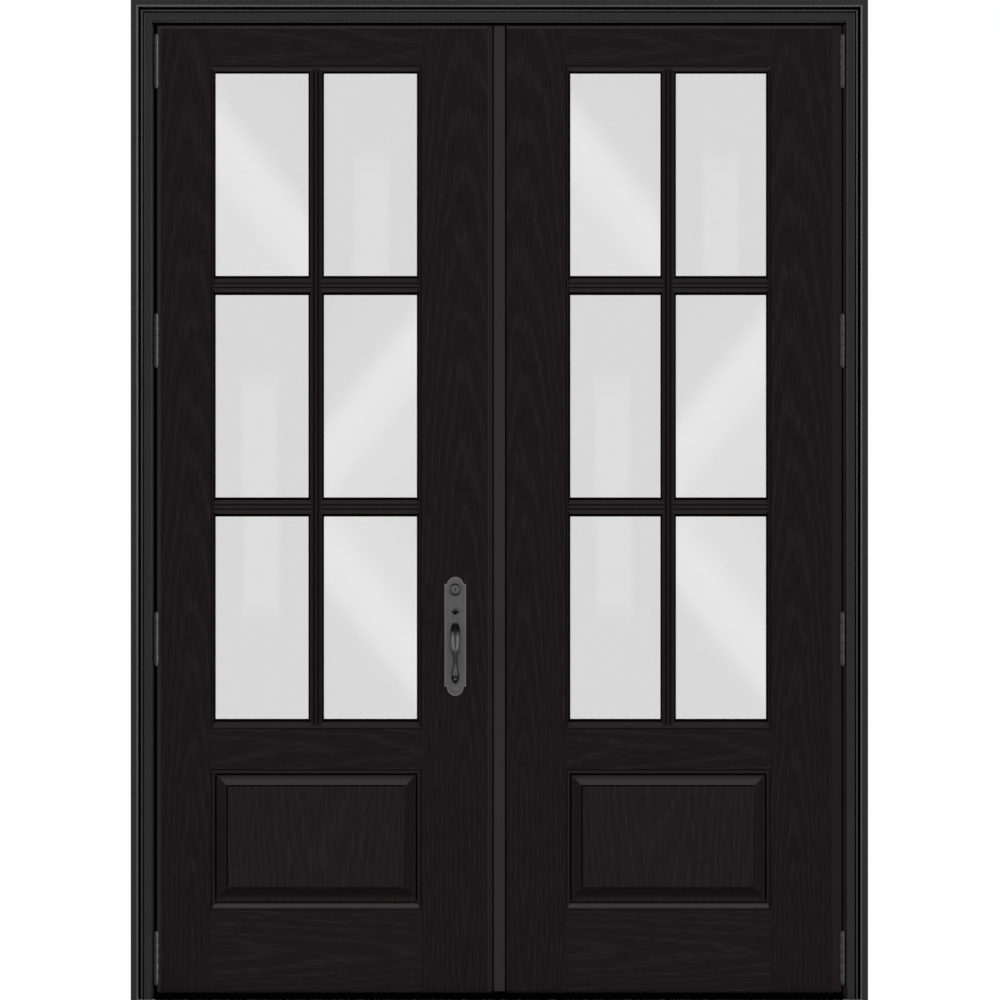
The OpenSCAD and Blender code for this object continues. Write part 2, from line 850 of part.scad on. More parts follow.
module hinge_pins() {
    color(pewter)
        on_both_sides()
            for (z = hinge_zs)
                translate([axis_x, axis_y, z]) {
                    cylinder(r = pin_r, h = hinge_h + 2 * fit, center = true);
                    for (side = [0, 180])
                        rotate([side, 0, 0])
                            translate([0, 0, hinge_h / 2 + fit / 2])
                                cylinder(r1 = button_r, r2 = button_r - button_h / 3, h = button_h);
                }
}

module leaf_hinge_plates() {
    color(pewter)
        hinge_half(0, 1, 1);
}

module leaf_hinge_screws() {
    color(steel)
        hinge_screws(0, 1, leaf_screw_l);
}

// Leaf carcass
module stile_section(w, grooved) {
    difference() {
        polygon([
            [leaf_arris, 0], [w, 0], [w, leaf_t],
            [leaf_arris, leaf_t], [0, leaf_t - leaf_arris], [0, leaf_arris]
        ]);
        if (grooved)
            translate([edge_band_w, -cut])
                square([edge_groove_w, edge_groove_d + cut]);
    }
}

// A rail's tongue over a span of heights, or the mortise for it, from from_x to to_x
module tenons(span, from_x, to_x, clear) {
    h = span[1] - span[0] - 2 * (tenon_shoulder - clear);
    translate([from_x - clear, mid_y - tenon_t / 2 - clear, span[0] + tenon_shoulder - clear])
        cube([to_x - from_x + 2 * clear, tenon_t + 2 * clear, h]);
}

module stile_blank(w, grooved) {
    difference() {
        linear_extrude(leaf_h)
            stile_section(w, grooved);
        for (span = rail_spans)
            tenons(span, w - tenon_l, w + cut, fit);
    }
}

module hinge_stile(w, grooved) {
    color(leaf_black)
        difference() {
            stile_blank(w, grooved);
            hinge_mortise(-cut);
            hinge_screw_holes(0, 1, leaf_screw_l + fit);
        }
}

module far_stile(w, grooved) {
    translate([leaf_w, 0, 0])
        mirror([1, 0, 0])
            stile_blank(w, grooved);
}

module rail(span, hinge_w, far_w) {
    color(leaf_black)
        union() {
            translate([hinge_w, 0, span[0]])
                cube([leaf_w - hinge_w - far_w, leaf_t, span[1] - span[0]]);
            tenons(span, hinge_w - tenon_l, leaf_w - far_w + tenon_l, 0);
        }
}

function arc_r(run, rise) = (run * run + rise * rise) / (2 * rise);

// Panel across its thickness, over a width w: low and high give the groove's inner edge and the bevel's foot
module panel_section(w, low, high) {
    difference() {
        translate([0, panel_edge_d])
            square([w, leaf_t - 2 * panel_edge_d]);
        for (x = [low[1], w - high[1]], y = [panel_foot_d - bevel_r, leaf_t - panel_foot_d + bevel_r])
            translate([x, y])
                circle(bevel_r, $fn = 180);
        for (cut_in = [[0, panel_margin_d], [1, panel_flat_d]], y = [0, leaf_t - cut_in[1]]) {
            translate([-cut, y])
                square([low[cut_in[0]] + cut, cut_in[1]]);
            translate([w - high[cut_in[0]], y])
                square([high[cut_in[0]] + cut, cut_in[1]]);
        }
    }
}

// Block of the panel's field, from depth d to the same depth behind, grown by extra on each side
module field_block(w, h, d, extra) {
    side_in = panel_side[1] + panel_bevel_w + field_groove_w - extra;
    low_in = panel_under[1] + panel_bevel_w + field_groove_w - extra;
    translate([side_in, d, low_in])
        cube([w - 2 * side_in, leaf_t - 2 * d, h - low_in - side_in]);
}

module panel(hinge_w, far_w) {
    w = leaf_w - hinge_w - far_w - 2 * fit;
    h = panel_h - 2 * fit;
    color(leaf_black)
        translate([hinge_w + fit, 0, panel_low + fit]) {
            difference() {
                intersection() {
                    linear_extrude(h)
                        panel_section(w, panel_side, panel_side);
                    translate([w, 0, 0])
                        rotate([0, -90, 0])
                            linear_extrude(w)
                                panel_section(h, panel_under, panel_side);
                }
                difference() {
                    field_block(w, h, -cut, field_groove_w + groove_lap);
                    field_block(w, h, panel_edge_d + field_groove_d, field_groove_w + 2 * groove_lap);
                }
            }
            field_block(w, h, panel_field_d, 0);
        }
}

// Moulding around the panel, w wide: x from the opening's edge, y out of the panel's margin
module panel_mould_section(w) {
    run = w - mould_quirk_w;
    round_r = arc_r(run, mould_h - bead_lip / 2);
    square([w, bead_lip / 2]);
    square([mould_quirk_w, mould_h - mould_quirk_d]);
    intersection() {
        translate([mould_quirk_w, mould_h - round_r])
            circle(round_r, $fn = 180);
        translate([mould_quirk_w, 0])
            square([run, mould_h]);
    }
}

// Bead around the glass: x from the opening's edge, y out of the glass
module bead_section(w) {
    roll_h = bead_h - bead_roll_r;
    quirk_floor_h = bead_h - mould_quirk_d;
    polygon([
        [0, 0], [w, 0], [w, bead_lip], [bead_roll_x, roll_h],
        [mould_quirk_w, roll_h], [mould_quirk_w, quirk_floor_h], [0, quirk_floor_h]
    ]);
    translate([bead_roll_x - bead_roll_r, roll_h])
        circle(bead_roll_r);
}

// What a bar's end leaves free for a bead
module bead_room(w) {
    foot_x = w + joint_gap;
    side_x = bead_roll_x + joint_gap;
    polygon([
        [-cut, -cut], [foot_x, -cut], [foot_x, bead_lip],
        [side_x, bead_h - bead_roll_r], [side_x, bead_h + cut], [-cut, bead_h + cut]
    ]);
}

// Bar between lites, about its middle
module bar_section(w) {
    difference() {
        union() {
            polygon([
                [-w / 2, 0], [w / 2, 0], [w / 2, bead_lip], [bar_shoulder_x, bar_shoulder_h - bar_shoulder_r],
                [-bar_shoulder_x, bar_shoulder_h - bar_shoulder_r], [-w / 2, bead_lip]
            ]);
            for (side = [-1, 1])
                translate([side * (bar_shoulder_x - bar_shoulder_r), bar_shoulder_h - bar_shoulder_r])
                    circle(bar_shoulder_r);
        }
        for (side = [-1, 1])
            translate([side * (bar_roll_r + bar_quirk_w / 2) - bar_quirk_w / 2, bar_shoulder_h - bar_quirk_d])
                square([bar_quirk_w, bead_h]);
    }
    translate([-bar_roll_r, 0])
        square([2 * bar_roll_r, bar_h - bar_roll_r]);
    translate([0, bar_h - bar_roll_r])
        circle(bar_roll_r);
}

// What a level bar's end leaves free for an upright bar
module bar_room(w) {
    foot_x = w / 2 + joint_gap;
    side_x = bar_shoulder_x + joint_gap;
    side_h = bar_shoulder_h - bar_shoulder_r;
    polygon([
        [-foot_x, -cut], [foot_x, -cut], [foot_x, bead_lip], [side_x, side_h],
        [side_x, bead_h + cut], [-side_x, bead_h + cut], [-side_x, side_h], [-foot_x, bead_lip]
    ]);
}

module stick_section(w, around) {
    if (around == "glass")
        bead_section(w);
    else
        panel_mould_section(w);
}

module flipped(when, axis) {
    if (when)
        mirror(axis)
            children();
    else
        children();
}

module mitre_prism(points) {
    translate([0, 0, -cut])
        linear_extrude(leaf_t)
            polygon(points);
}

// A stick along the lower or upper edge of an opening from low to high, mitred to uprights of side_w
module level_stick(low, high, side_w, w, upper, around) {
    edge = upper ? high[1] : low[1];
    inner = upper ? edge - w : edge + w;
    from_x = low[0] + joint_gap;
    to_x = high[0] - joint_gap;
    intersection() {
        translate([0, edge, 0])
            flipped(upper, [0, 1, 0])
                sweep_x(low[0], high[0])
                    stick_section(w, around);
        mitre_prism([[from_x, edge], [to_x, edge], [to_x - side_w, inner], [from_x + side_w, inner]]);
    }
}

// A stick along the left or right edge of an opening
module upright_stick(low, high, w, bottom_w, top_w, right, around) {
    edge = right ? high[0] : low[0];
    inner = right ? edge - w : edge + w;
    intersection() {
        translate([edge, high[1], 0])
            flipped(right, [1, 0, 0])
                rotate([90, 0, 0])
                    linear_extrude(high[1] - low[1])
                        stick_section(w, around);
        mitre_prism([[edge, low[1]], [inner, low[1] + bottom_w], [inner, high[1] - top_w], [edge, high[1]]]);
    }
}

module mitred_sticks(low, high, side_w, bottom_w, top_w, around) {
    level_stick(low, high, side_w, bottom_w, false, around);
    level_stick(low, high, side_w, top_w, true, around);
    for (right = [false, true])
        upright_stick(low, high, side_w, bottom_w, top_w, right, around);
}

module panel_mouldings(hinge_w, far_w) {
    color(leaf_black) {
        panel_mould_ring(hinge_w, far_w);
        inside_out()
            panel_mould_ring(hinge_w, far_w);
    }
}

module panel_mould_ring(hinge_w, far_w) {
    stand_up(panel_margin_d)
        mitred_sticks(
            [hinge_w, panel_low], [leaf_w - far_w, panel_high],
            panel_mould_w, panel_mould_low_w, panel_mould_w, "panel"
        );
}

// A profile along an upright line at x or a level line at y of the glazing
module upright_run(x, low, high) {
    translate([x, high[1], 0])
        rotate([90, 0, 0])
            linear_extrude(high[1] - low[1])
                children();
}

module level_run(y, low, high) {
    translate([0, y, 0])
        sweep_x(low[0], high[0])
            children();
}

// Beads and bars on one side of the glass; the level bars are cut to the upright ones
module glazing_bars(hinge_w, far_w) {
    low = [hinge_w, lite_low];
    high = [leaf_w - far_w, lite_high];
    column_pitch = (high[0] - low[0] - 2 * bead_side_w + bar_upright_w) / lite_columns;
    row_pitch = (high[1] - low[1] - bead_bottom_w - bead_top_w + bar_level_w) / lite_rows;
    first_x = low[0] + bead_side_w - bar_upright_w / 2;
    first_y = low[1] + bead_bottom_w - bar_level_w / 2;
    upright_xs = [for (column = [1 : 1 : lite_columns - 1]) first_x + column * column_pitch];
    level_ys = [for (row = [1 : 1 : lite_rows - 1]) first_y + row * row_pitch];
    color(leaf_black)
        stand_up(glass_y) {
            mitred_sticks(low, high, bead_side_w, bead_bottom_w, bead_top_w, "glass");
            difference() {
                for (x = upright_xs)
                    upright_run(x, low, high)
                        bar_section(bar_upright_w);
                level_run(low[1], low, high)
                    bead_room(bead_bottom_w);
                translate([0, high[1], 0])
                    mirror([0, 1, 0])
                        level_run(0, low, high)
                            bead_room(bead_top_w);
            }
            difference() {
                for (y = level_ys)
                    level_run(y, low, high)
                        bar_section(bar_level_w);
                for (x = upright_xs)
                    upright_run(x, low, high)
                        bar_room(bar_upright_w);
                upright_run(low[0], low, high)
                    bead_room(bead_side_w);
                translate([high[0], 0, 0])
                    mirror([1, 0, 0])
                        upright_run(0, low, high)
                            bead_room(bead_side_w);
            }
        }
}

module glass_sheet(hinge_w, far_w, in, from_y, t) {
    translate([hinge_w + in, from_y, lite_low + in])
        cube([leaf_w - hinge_w - far_w - 2 * in, t, lite_high - lite_low - 2 * in]);
}

module glass_panes(hinge_w, far_w) {
    color(glass_tint)
        for (y = [glass_y, glass_y + pane_t + pane_space])
            glass_sheet(hinge_w, far_w, pane_gap, y, pane_t);
}

module glass_spacer(hinge_w, far_w) {
    outer_in = pane_gap + spacer_set;
    from_y = glass_y + pane_t;
    color(seal_black)
        difference() {
            glass_sheet(hinge_w, far_w, outer_in, from_y, pane_space);
            glass_sheet(hinge_w, far_w, outer_in + spacer_w, from_y - cut, pane_space + 2 * cut);
        }
}

module leaf_sweep() {
    color(seal_black)
        sweep_x(leaf_arris, leaf_w - leaf_arris) {
            translate([sweep_set, -sweep_t])
                square([leaf_t - 2 * sweep_set, sweep_t]);
            for (y = [-1, 0, 1])
                translate([mid_y + y * sweep_fin_pitch - sweep_fin_t / 2, seal_clear - sill_gap])
                    square([sweep_fin_t, sill_gap - seal_clear]);
        }
}

// Lock, drawn on the active leaf
module lock_case_block(clear) {
    translate([leaf_w - face_t - case_d - clear, case_y - clear, case_low - clear])
        cube([case_d + clear, case_t + 2 * clear, case_high - case_low + 2 * clear]);
}

module bolt_block(length, height, z, clear) {
    translate([leaf_w - bolt_set - length - clear, mid_y - bolt_t / 2 - clear, z - height / 2 - clear])
        cube([length + bolt_set + cut + clear, bolt_t + 2 * clear, height + 2 * clear]);
}

module faceplate_block(clear) {
    t = clear > 0 ? face_t + cut : face_t;
    h = case_high - case_low + 2 * (face_end + clear);
    translate([leaf_w - face_t, mid_y - faceplate_w / 2 - clear, case_low - face_end - clear])
        cube([t, faceplate_w + 2 * clear, h]);
}

module thumb_slot(from_y, to_y, w) {
    translate([lock_x - w / 2, from_y, latch_z - thumb_slot_h / 2])
        cube([w, to_y - from_y, thumb_slot_h]);
}

module active_lock_stile() {
    color(leaf_black)
        on_active()
            difference() {
                far_stile(active_lock_stile_w, true);
                lock_case_block(fit);
                translate([-fit, 0, 0])
                    faceplate_block(fit);
                bar_y(lock_x, deadbolt_z, -cut, mid_y, cylinder_r + pass_fit);
                bar_y(lock_x, deadbolt_z, mid_y, leaf_t + cut, spindle_r + pass_fit);
                bar_y(lock_x, latch_z, mid_y, leaf_t + cut, spindle_r + pass_fit);
                thumb_slot(-cut, mid_y, stem_w + 2 * pass_fit);
                translate([lock_x - pivot_l / 2 - pass_fit, -cut, latch_z - pivot_r - pass_fit])
                    cube([pivot_l + 2 * pass_fit, 2 * pivot_r + pass_fit + cut, 2 * (pivot_r + pass_fit)]);
                for (z = trim_screw_zs)
                    bar_y(lock_x, z, leaf_t - trim_screw_l - fit, leaf_t + cut, shank_r + turn_fit);
            }
}

module lock_case() {
    color(steel)
        on_active()
            difference() {
                lock_case_block(0);
                bolt_block(deadbolt_l, deadbolt_h, deadbolt_z, slide_fit);
                bolt_block(latch_l, latch_h, latch_z, slide_fit);
                bar_y(lock_x, deadbolt_z, case_y - cut, cylinder_end_y + turn_fit, cylinder_r + turn_fit);
                bar_y(lock_x, deadbolt_z, mid_y, leaf_t, spindle_r + turn_fit);
                bar_y(lock_x, latch_z, tail_l + fit, leaf_t, spindle_r + turn_fit);
                thumb_slot(case_y - cut, tail_l + 2 * fit, stem_w + 2 * pass_fit);
            }
}

module lock_faceplate() {
    color(pewter)
        on_active()
            difference() {
                faceplate_block(0);
                bolt_block(deadbolt_l, deadbolt_h, deadbolt_z, slide_fit);
                bolt_block(latch_l, latch_h, latch_z, slide_fit);
            }
}

module deadbolt() {
    color(steel)
        on_active()
            translate([leaf_w - bolt_set - deadbolt_l, mid_y - bolt_t / 2, deadbolt_z - deadbolt_h / 2])
                cube([deadbolt_l, bolt_t, deadbolt_h]);
}

module latch_bolt() {
    color(steel)
        on_active()
            translate([leaf_w - bolt_set - latch_l, mid_y - bolt_t / 2, latch_z - latch_h / 2])
                linear_extrude(latch_h)
                    polygon([[0, 0], [latch_l, 0], [latch_l - latch_slope, bolt_t], [0, bolt_t]]);
}

module lock_cylinder() {
    color(pewter)
        on_active()
            difference() {
                union() {
                    bar_y(lock_x, deadbolt_z, -trim_t - collar_h, -trim_t, collar_r);
                    bar_y(lock_x, deadbolt_z, -trim_t - collar_h, cylinder_end_y, cylinder_r);
                }
                bar_y(lock_x, deadbolt_z, -trim_t - collar_h - cut, mid_y + turn_fit, plug_r + turn_fit);
            }
}

module cylinder_plug() {
    front = -trim_t - collar_h - plug_out;
    color(steel)
        on_active()
            difference() {
                bar_y(lock_x, deadbolt_z, front, mid_y, plug_r);
                translate([lock_x - keyway_w / 2, front - cut, deadbolt_z - keyway_h / 2])
                    cube([keyway_w, keyway_d + cut, keyway_h]);
            }
}

// Plate outline in x and z, drawn smaller by in
module trim_outline(in) {
    translate([lock_x - trim_w / 2 + in, trim_low + in])
        square([trim_w - 2 * in, trim_h - 2 * in]);
    for (z = [lobe_low, lobe_high])
        translate([lock_x, z])
            circle(lobe_r - in);
}

module trim_blank() {
    stand_up(0) {
        linear_extrude(trim_edge_t)
            trim_outline(0);
        linear_extrude(trim_t)
            trim_outline(trim_step);
    }
}

module outside_plate() {
    color(pewter)
        on_active()
            difference() {
                trim_blank();
                bar_y(lock_x, deadbolt_z, -trim_t - cut, cut, cylinder_r + turn_fit);
                thumb_slot(-trim_t - cut, cut, stem_w + 2 * pass_fit);
            }
}

module inside_plate() {
    color(pewter)
        on_active()
            inside_out()
                difference() {
                    trim_blank();
                    for (z = [latch_z, deadbolt_z])
                        bar_y(lock_x, z, -trim_t - cut, cut, spindle_r + turn_fit);
                    for (z = trim_screw_zs)
                        bar_y(lock_x, z, -trim_t - cut, cut, shank_r + turn_fit);
                }
}

module trim_screws() {
    color(pewter)
        on_active()
            for (z = trim_screw_zs) {
                bar_y(lock_x, z, leaf_t - trim_screw_l, leaf_t + trim_t + trim_screw_h, shank_r);
                bar_y(lock_x, z, leaf_t + trim_t, leaf_t + trim_t + trim_screw_h, trim_screw_r);
            }
}

// Grip: rings along half an ellipse, from the plate out and back to the plate
function grip_half_width(s) = lookup(s, [
    [0, grip_wide * 0.75], [0.12, grip_wide], [0.3, grip_wide], [0.45, (grip_wide + grip_waist) / 2],
    [0.62, grip_waist], [0.72, grip_waist * 1.1], [0.88, grip_foot * 0.9], [0.95, grip_foot],
    [1, grip_foot * 0.85]
]);
function grip_point(i, j) =
    let (
        turn = 90 - 180 * i / grip_rings,
        across = 360 * j / grip_sides,
        centre_y = -trim_t - grip_bow * cos(turn),
        centre_z = grip_top - grip_h / 2 + grip_h / 2 * sin(turn),
        out = [-grip_h / 2 * cos(turn), grip_bow * sin(turn)],
        unit = out / norm(out),
        rise = grip_thick * sin(across),
        wide = grip_half_width(0.5 - sin(turn) / 2) * cos(across)
    )
    [lock_x + wide, centre_y + rise * unit[0], centre_z + rise * unit[1]];

module pull_grip() {
    points = [for (i = [0 : grip_rings], j = [0 : grip_sides - 1]) grip_point(i, j)];
    walls = [
        for (i = [0 : grip_rings - 1], j = [0 : grip_sides - 1])
            let (a = i * grip_sides + j, b = i * grip_sides + (j + 1) % grip_sides)
            [a, b, b + grip_sides, a + grip_sides]
    ];
    first_cap = [for (j = [grip_sides - 1 : -1 : 0]) j];
    last_cap = [for (j = [0 : grip_sides - 1]) grip_rings * grip_sides + j];
    color(pewter)
        on_active()
            polyhedron(points, concat(walls, [first_cap], [last_cap]));
}

module thumbpiece_outline() {
    translate([-stem_w / 2, -trim_t])
        square([stem_w, thumbpiece_l - pad_r + trim_t]);
    translate([0, thumbpiece_l - pad_r])
        circle(pad_r);
}

module thumbpiece() {
    color(pewter)
        on_active()
            translate([lock_x, pivot_y, latch_z]) {
                rotate([thumbpiece_rise, 0, 180])
                    translate([0, pivot_y, -thumbpiece_t / 2])
                        linear_extrude(thumbpiece_t)
                            thumbpiece_outline();
                translate([-stem_w / 2, -pivot_r, -thumbpiece_t / 2])
                    cube([stem_w, tail_l - pivot_y + pivot_r, thumbpiece_t]);
                rotate([0, 90, 0])
                    cylinder(r = pivot_r, h = pivot_l, center = true);
            }
}

// Knob and thumbturn stand on the inside plate
module turned_inside(z, from_y) {
    translate([lock_x, from_y, z])
        rotate([-90, 0, 0])
            children();
}

module inside_knob() {
    edge_r = knob_t / 2;
    color(pewter)
        on_active()
            turned_inside(latch_z, leaf_t + trim_t + fit) {
                rotate_extrude() {
                    square([neck_r, neck_l + edge_r]);
                    square([knob_foot_r, knob_foot_h]);
                    translate([0, neck_l])
                        square([knob_r - edge_r, knob_t]);
                    translate([knob_r - edge_r, neck_l])
                        intersection() {
                            translate([0, edge_r])
                                circle(edge_r);
                            square([edge_r, knob_t]);
                        }
                }
                translate([0, 0, -leaf_t - trim_t - fit + tail_l + 2 * fit])
                    cylinder(r = spindle_r, h = leaf_t + trim_t - tail_l);
            }
}

module thumbturn() {
    color(pewter)
        on_active()
            turned_inside(deadbolt_z, leaf_t + trim_t + fit) {
                cylinder(r = turn_base_r, h = turn_base_h);
                translate([0, 0, turn_base_h])
                    rotate([0, -90, 0])
                        linear_extrude(wing_t, center = true)
                            intersection() {
                                translate([-cut, -wing_l / 2])
                                    square([wing_out + cut, wing_l]);
                                translate([wing_out - wing_l / 2, 0])
                                    circle(wing_l / 2);
                            }
                translate([0, 0, cylinder_end_y + 2 * fit - leaf_t - trim_t])
                    cylinder(r = spindle_r, h = leaf_t + trim_t - cylinder_end_y);
            }
}

// Strip between the leaves, drawn on the passive leaf
module strip_outline() {
    far = astragal_edge - astragal_arris;
    near = leaf_w + astragal_arris;
    face = leaf_w + strip_quirk_w;
    front = astragal_arris - astragal_proud;
    back = leaf_t - astragal_arris;
    polygon([
        [leaf_w, strip_quirk_d], [face, strip_quirk_d], [face, front],
        [face + astragal_arris, -astragal_proud], [far, -astragal_proud], [astragal_edge, front],
        [astragal_edge, back], [far, leaf_t], [near, leaf_t], [leaf_w, back]
    ]);
}

module strip_hollow(in) {
    difference() {
        translate([leaf_w + in, in - astragal_proud])
            square([astragal_w - 2 * in, leaf_t + astragal_proud - 2 * in]);
        translate([leaf_w, -astragal_proud])
            square([strip_quirk_w + in, strip_quirk_d + astragal_proud + in]);
    }
}

module strike_slots() {
    slot_w = bolt_t + 4 * slide_fit;
    for (bolt = [[latch_z, latch_h], [deadbolt_z, deadbolt_h]]) {
        slot_h = bolt[1] + 4 * slide_fit;
        translate([astragal_edge - astragal_wall - cut, mid_y - slot_w / 2, bolt[0] - slot_h / 2])
            cube([astragal_wall + strike_t + 2 * cut, slot_w, slot_h]);
    }
}

// The wall slots that the flush bolts' thumb buttons slide in
module thumb_slots() {
    slot_h = thumb_h + flush_bolt_throw + 2 * slide_fit;
    for (z = [thumb_low(true) - slide_fit, thumb_low(false) - flush_bolt_throw - slide_fit])
        translate([astragal_edge - astragal_wall - cut, mid_y - thumb_w / 2 - slide_fit, z])
            cube([astragal_wall + 2 * cut, thumb_w + 2 * slide_fit, slot_h]);
}

function thumb_low(upper) =
    let (low_z = upper ? leaf_h - flush_bolt_set - flush_bolt_l : flush_bolt_set + flush_bolt_l - slide_h)
    low_z + (slide_h - thumb_h) / 2;

module astragal() {
    color(strip_grey)
        on_passive()
            difference() {
                linear_extrude(leaf_h)
                    difference() {
                        strip_outline();
                        strip_hollow(astragal_wall);
                    }
                strike_slots();
                thumb_slots();
            }
}

module astragal_seal() {
    bulb_r = (meeting_gap - meeting_seal_clear) / 2;
    color(seal_black)
        on_passive()
            linear_extrude(leaf_h) {
                translate([astragal_edge, meeting_seal_y - bulb_r])
                    square([bulb_r, 2 * bulb_r]);
                translate([astragal_edge + bulb_r, meeting_seal_y])
                    circle(bulb_r);
            }
}

module strike_plate() {
    low = latch_z - latch_h / 2 - strike_end;
    high = deadbolt_z + deadbolt_h / 2 + strike_end;
    color(pewter)
        on_passive()
            difference() {
                translate([astragal_edge, mid_y - strike_w / 2, low])
                    cube([strike_t, strike_w, high - low]);
                strike_slots();
            }
}

module flush_bolt_guides() {
    color(seal_black)
        on_passive()
            for (z = [0, leaf_h - guide_h])
                difference() {
                    translate([0, 0, z])
                        linear_extrude(guide_h)
                            strip_hollow(astragal_wall + fit / 2);
                    translate([flush_x, mid_y, z - cut])
                        cylinder(r = flush_bolt_r + turn_fit, h = guide_h + 2 * cut);
                }
}

module flush_bolt(rod_low, slide_low, button_low) {
    wall_x = astragal_edge - astragal_wall - slide_fit;
    translate([flush_x, mid_y, rod_low])
        cylinder(r = flush_bolt_r, h = flush_bolt_l);
    translate([flush_x - flush_bolt_r, mid_y - slide_t / 2, slide_low])
        cube([wall_x - flush_x + flush_bolt_r, slide_t, slide_h]);
    translate([flush_x, mid_y - thumb_w / 2, button_low])
        cube([astragal_edge + thumb_out - flush_x, thumb_w, thumb_h]);
}

module top_flush_bolt() {
    rod_low = leaf_h - flush_bolt_set - flush_bolt_l;
    color(steel)
        on_passive()
            flush_bolt(rod_low, rod_low, thumb_low(true));
}

module bottom_flush_bolt() {
    color(steel)
        on_passive()
            flush_bolt(flush_bolt_set, flush_bolt_set + flush_bolt_l - slide_h, thumb_low(false));
}

left_jamb();
right_jamb();
head_jamb();
left_casing();
right_casing();
head_casing();
sill();
sill_bumper();
weatherstrip();
frame_hinge_plates();
frame_hinge_screws();
hinge_pins();
head_keeper();

on_active() hinge_stile(active_hinge_stile_w, false);  // active_hinge_stile
active_lock_stile();
on_active() rail(rail_spans[2], active_hinge_stile_w, active_lock_stile_w);  // active_top_rail
on_active() rail(rail_spans[1], active_hinge_stile_w, active_lock_stile_w);  // active_lock_rail
on_active() rail(rail_spans[0], active_hinge_stile_w, active_lock_stile_w);  // active_bottom_rail
on_active() panel(active_hinge_stile_w, active_lock_stile_w);  // active_panel
on_active() panel_mouldings(active_hinge_stile_w, active_lock_stile_w);  // active_panel_mouldings
on_active() glass_panes(active_hinge_stile_w, active_lock_stile_w);  // active_glass_panes
on_active() glass_spacer(active_hinge_stile_w, active_lock_stile_w);  // active_glass_spacer
on_active() glazing_bars(active_hinge_stile_w, active_lock_stile_w);  // active_outer_glazing_bars
on_active() inside_out() glazing_bars(active_hinge_stile_w, active_lock_stile_w);  // active_inner_glazing_bars
on_active() leaf_hinge_plates();  // active_hinge_plates
on_active() leaf_hinge_screws();  // active_hinge_screws
on_active() leaf_sweep();  // active_sweep

on_passive() hinge_stile(passive_hinge_stile_w, true);  // passive_hinge_stile
on_passive() color(leaf_black) far_stile(passive_meeting_stile_w, false);  // passive_meeting_stile
on_passive() rail(rail_spans[2], passive_hinge_stile_w, passive_meeting_stile_w);  // passive_top_rail
on_passive() rail(rail_spans[1], passive_hinge_stile_w, passive_meeting_stile_w);  // passive_lock_rail
on_passive() rail(rail_spans[0], passive_hinge_stile_w, passive_meeting_stile_w);  // passive_bottom_rail
on_passive() panel(passive_hinge_stile_w, passive_meeting_stile_w);  // passive_panel
on_passive() panel_mouldings(passive_hinge_stile_w, passive_meeting_stile_w);  // passive_panel_mouldings
on_passive() glass_panes(passive_hinge_stile_w, passive_meeting_stile_w);  // passive_glass_panes
on_passive() glass_spacer(passive_hinge_stile_w, passive_meeting_stile_w);  // passive_glass_spacer
on_passive() glazing_bars(passive_hinge_stile_w, passive_meeting_stile_w);  // passive_outer_glazing_bars
on_passive() inside_out() glazing_bars(passive_hinge_stile_w, passive_meeting_stile_w);  // passive_inner_glazing_bars
on_passive() leaf_hinge_plates();  // passive_hinge_plates
on_passive() leaf_hinge_screws();  // passive_hinge_screws
on_passive() leaf_sweep();  // passive_sweep

lock_case();
lock_faceplate();
outside_plate();
lock_cylinder();
cylinder_plug();
thumbpiece();
pull_grip();
latch_bolt();
deadbolt();
inside_plate();
inside_knob();
thumbturn();
trim_screws();

astragal();
astragal_seal();
strike_plate();
flush_bolt_guides();
top_flush_bolt();
bottom_flush_bolt();
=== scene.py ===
import math
import bmesh
import bpy
from mathutils import Matrix, Vector


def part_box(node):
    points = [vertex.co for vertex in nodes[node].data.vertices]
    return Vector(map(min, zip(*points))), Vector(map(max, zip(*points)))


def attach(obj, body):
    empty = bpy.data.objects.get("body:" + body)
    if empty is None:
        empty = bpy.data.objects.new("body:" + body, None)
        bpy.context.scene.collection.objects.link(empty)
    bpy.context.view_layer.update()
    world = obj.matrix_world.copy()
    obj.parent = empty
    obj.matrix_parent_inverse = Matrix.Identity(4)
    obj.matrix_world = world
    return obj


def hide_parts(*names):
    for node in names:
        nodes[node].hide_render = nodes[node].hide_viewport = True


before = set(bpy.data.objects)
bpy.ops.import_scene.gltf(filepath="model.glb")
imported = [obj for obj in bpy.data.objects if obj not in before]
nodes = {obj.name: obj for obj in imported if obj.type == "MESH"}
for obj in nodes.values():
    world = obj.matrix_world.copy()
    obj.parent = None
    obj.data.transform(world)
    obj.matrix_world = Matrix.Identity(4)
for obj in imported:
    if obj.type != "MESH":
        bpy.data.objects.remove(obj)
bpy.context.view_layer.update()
print("frame loaded:", len(nodes), "nodes")


def linear(level):
    # an 8-bit screen level as the linear value that the shaders take
    share = level / 255
    return ((share + 0.055) / 1.055) ** 2.4 if level > 10.3 else share / 12.92


def tone(r, g, b):
    return linear(r), linear(g), linear(b), 1.0


# small helpers for shader nodes
def newFinish(name):
    finish = bpy.data.materials.new(name)
    finish.use_nodes = True
    tree = finish.node_tree
    return finish, tree, tree.nodes["Principled BSDF"]


def addNode(tree, kind, **values):
    # a node with its settings and the values of its sockets
    node = tree.nodes.new(kind)
    for key, value in values.items():
        if key in node.inputs:
            node.inputs[key].default_value = value
        else:
            setattr(node, key, value)
    return node


def arith(tree, operation, first, second=None):
    node = addNode(tree, "ShaderNodeMath", operation=operation)
    tree.links.new(first, node.inputs[0])
    if second is not None:
        tree.links.new(second, node.inputs[1])
    return node.outputs[0]


def multiplied(tree, first, second):
    return arith(tree, "MULTIPLY", first, second)


def greater(tree, first, second):
    return arith(tree, "MAXIMUM", first, second)


def absolute(tree, value):
    return arith(tree, "ABSOLUTE", value)


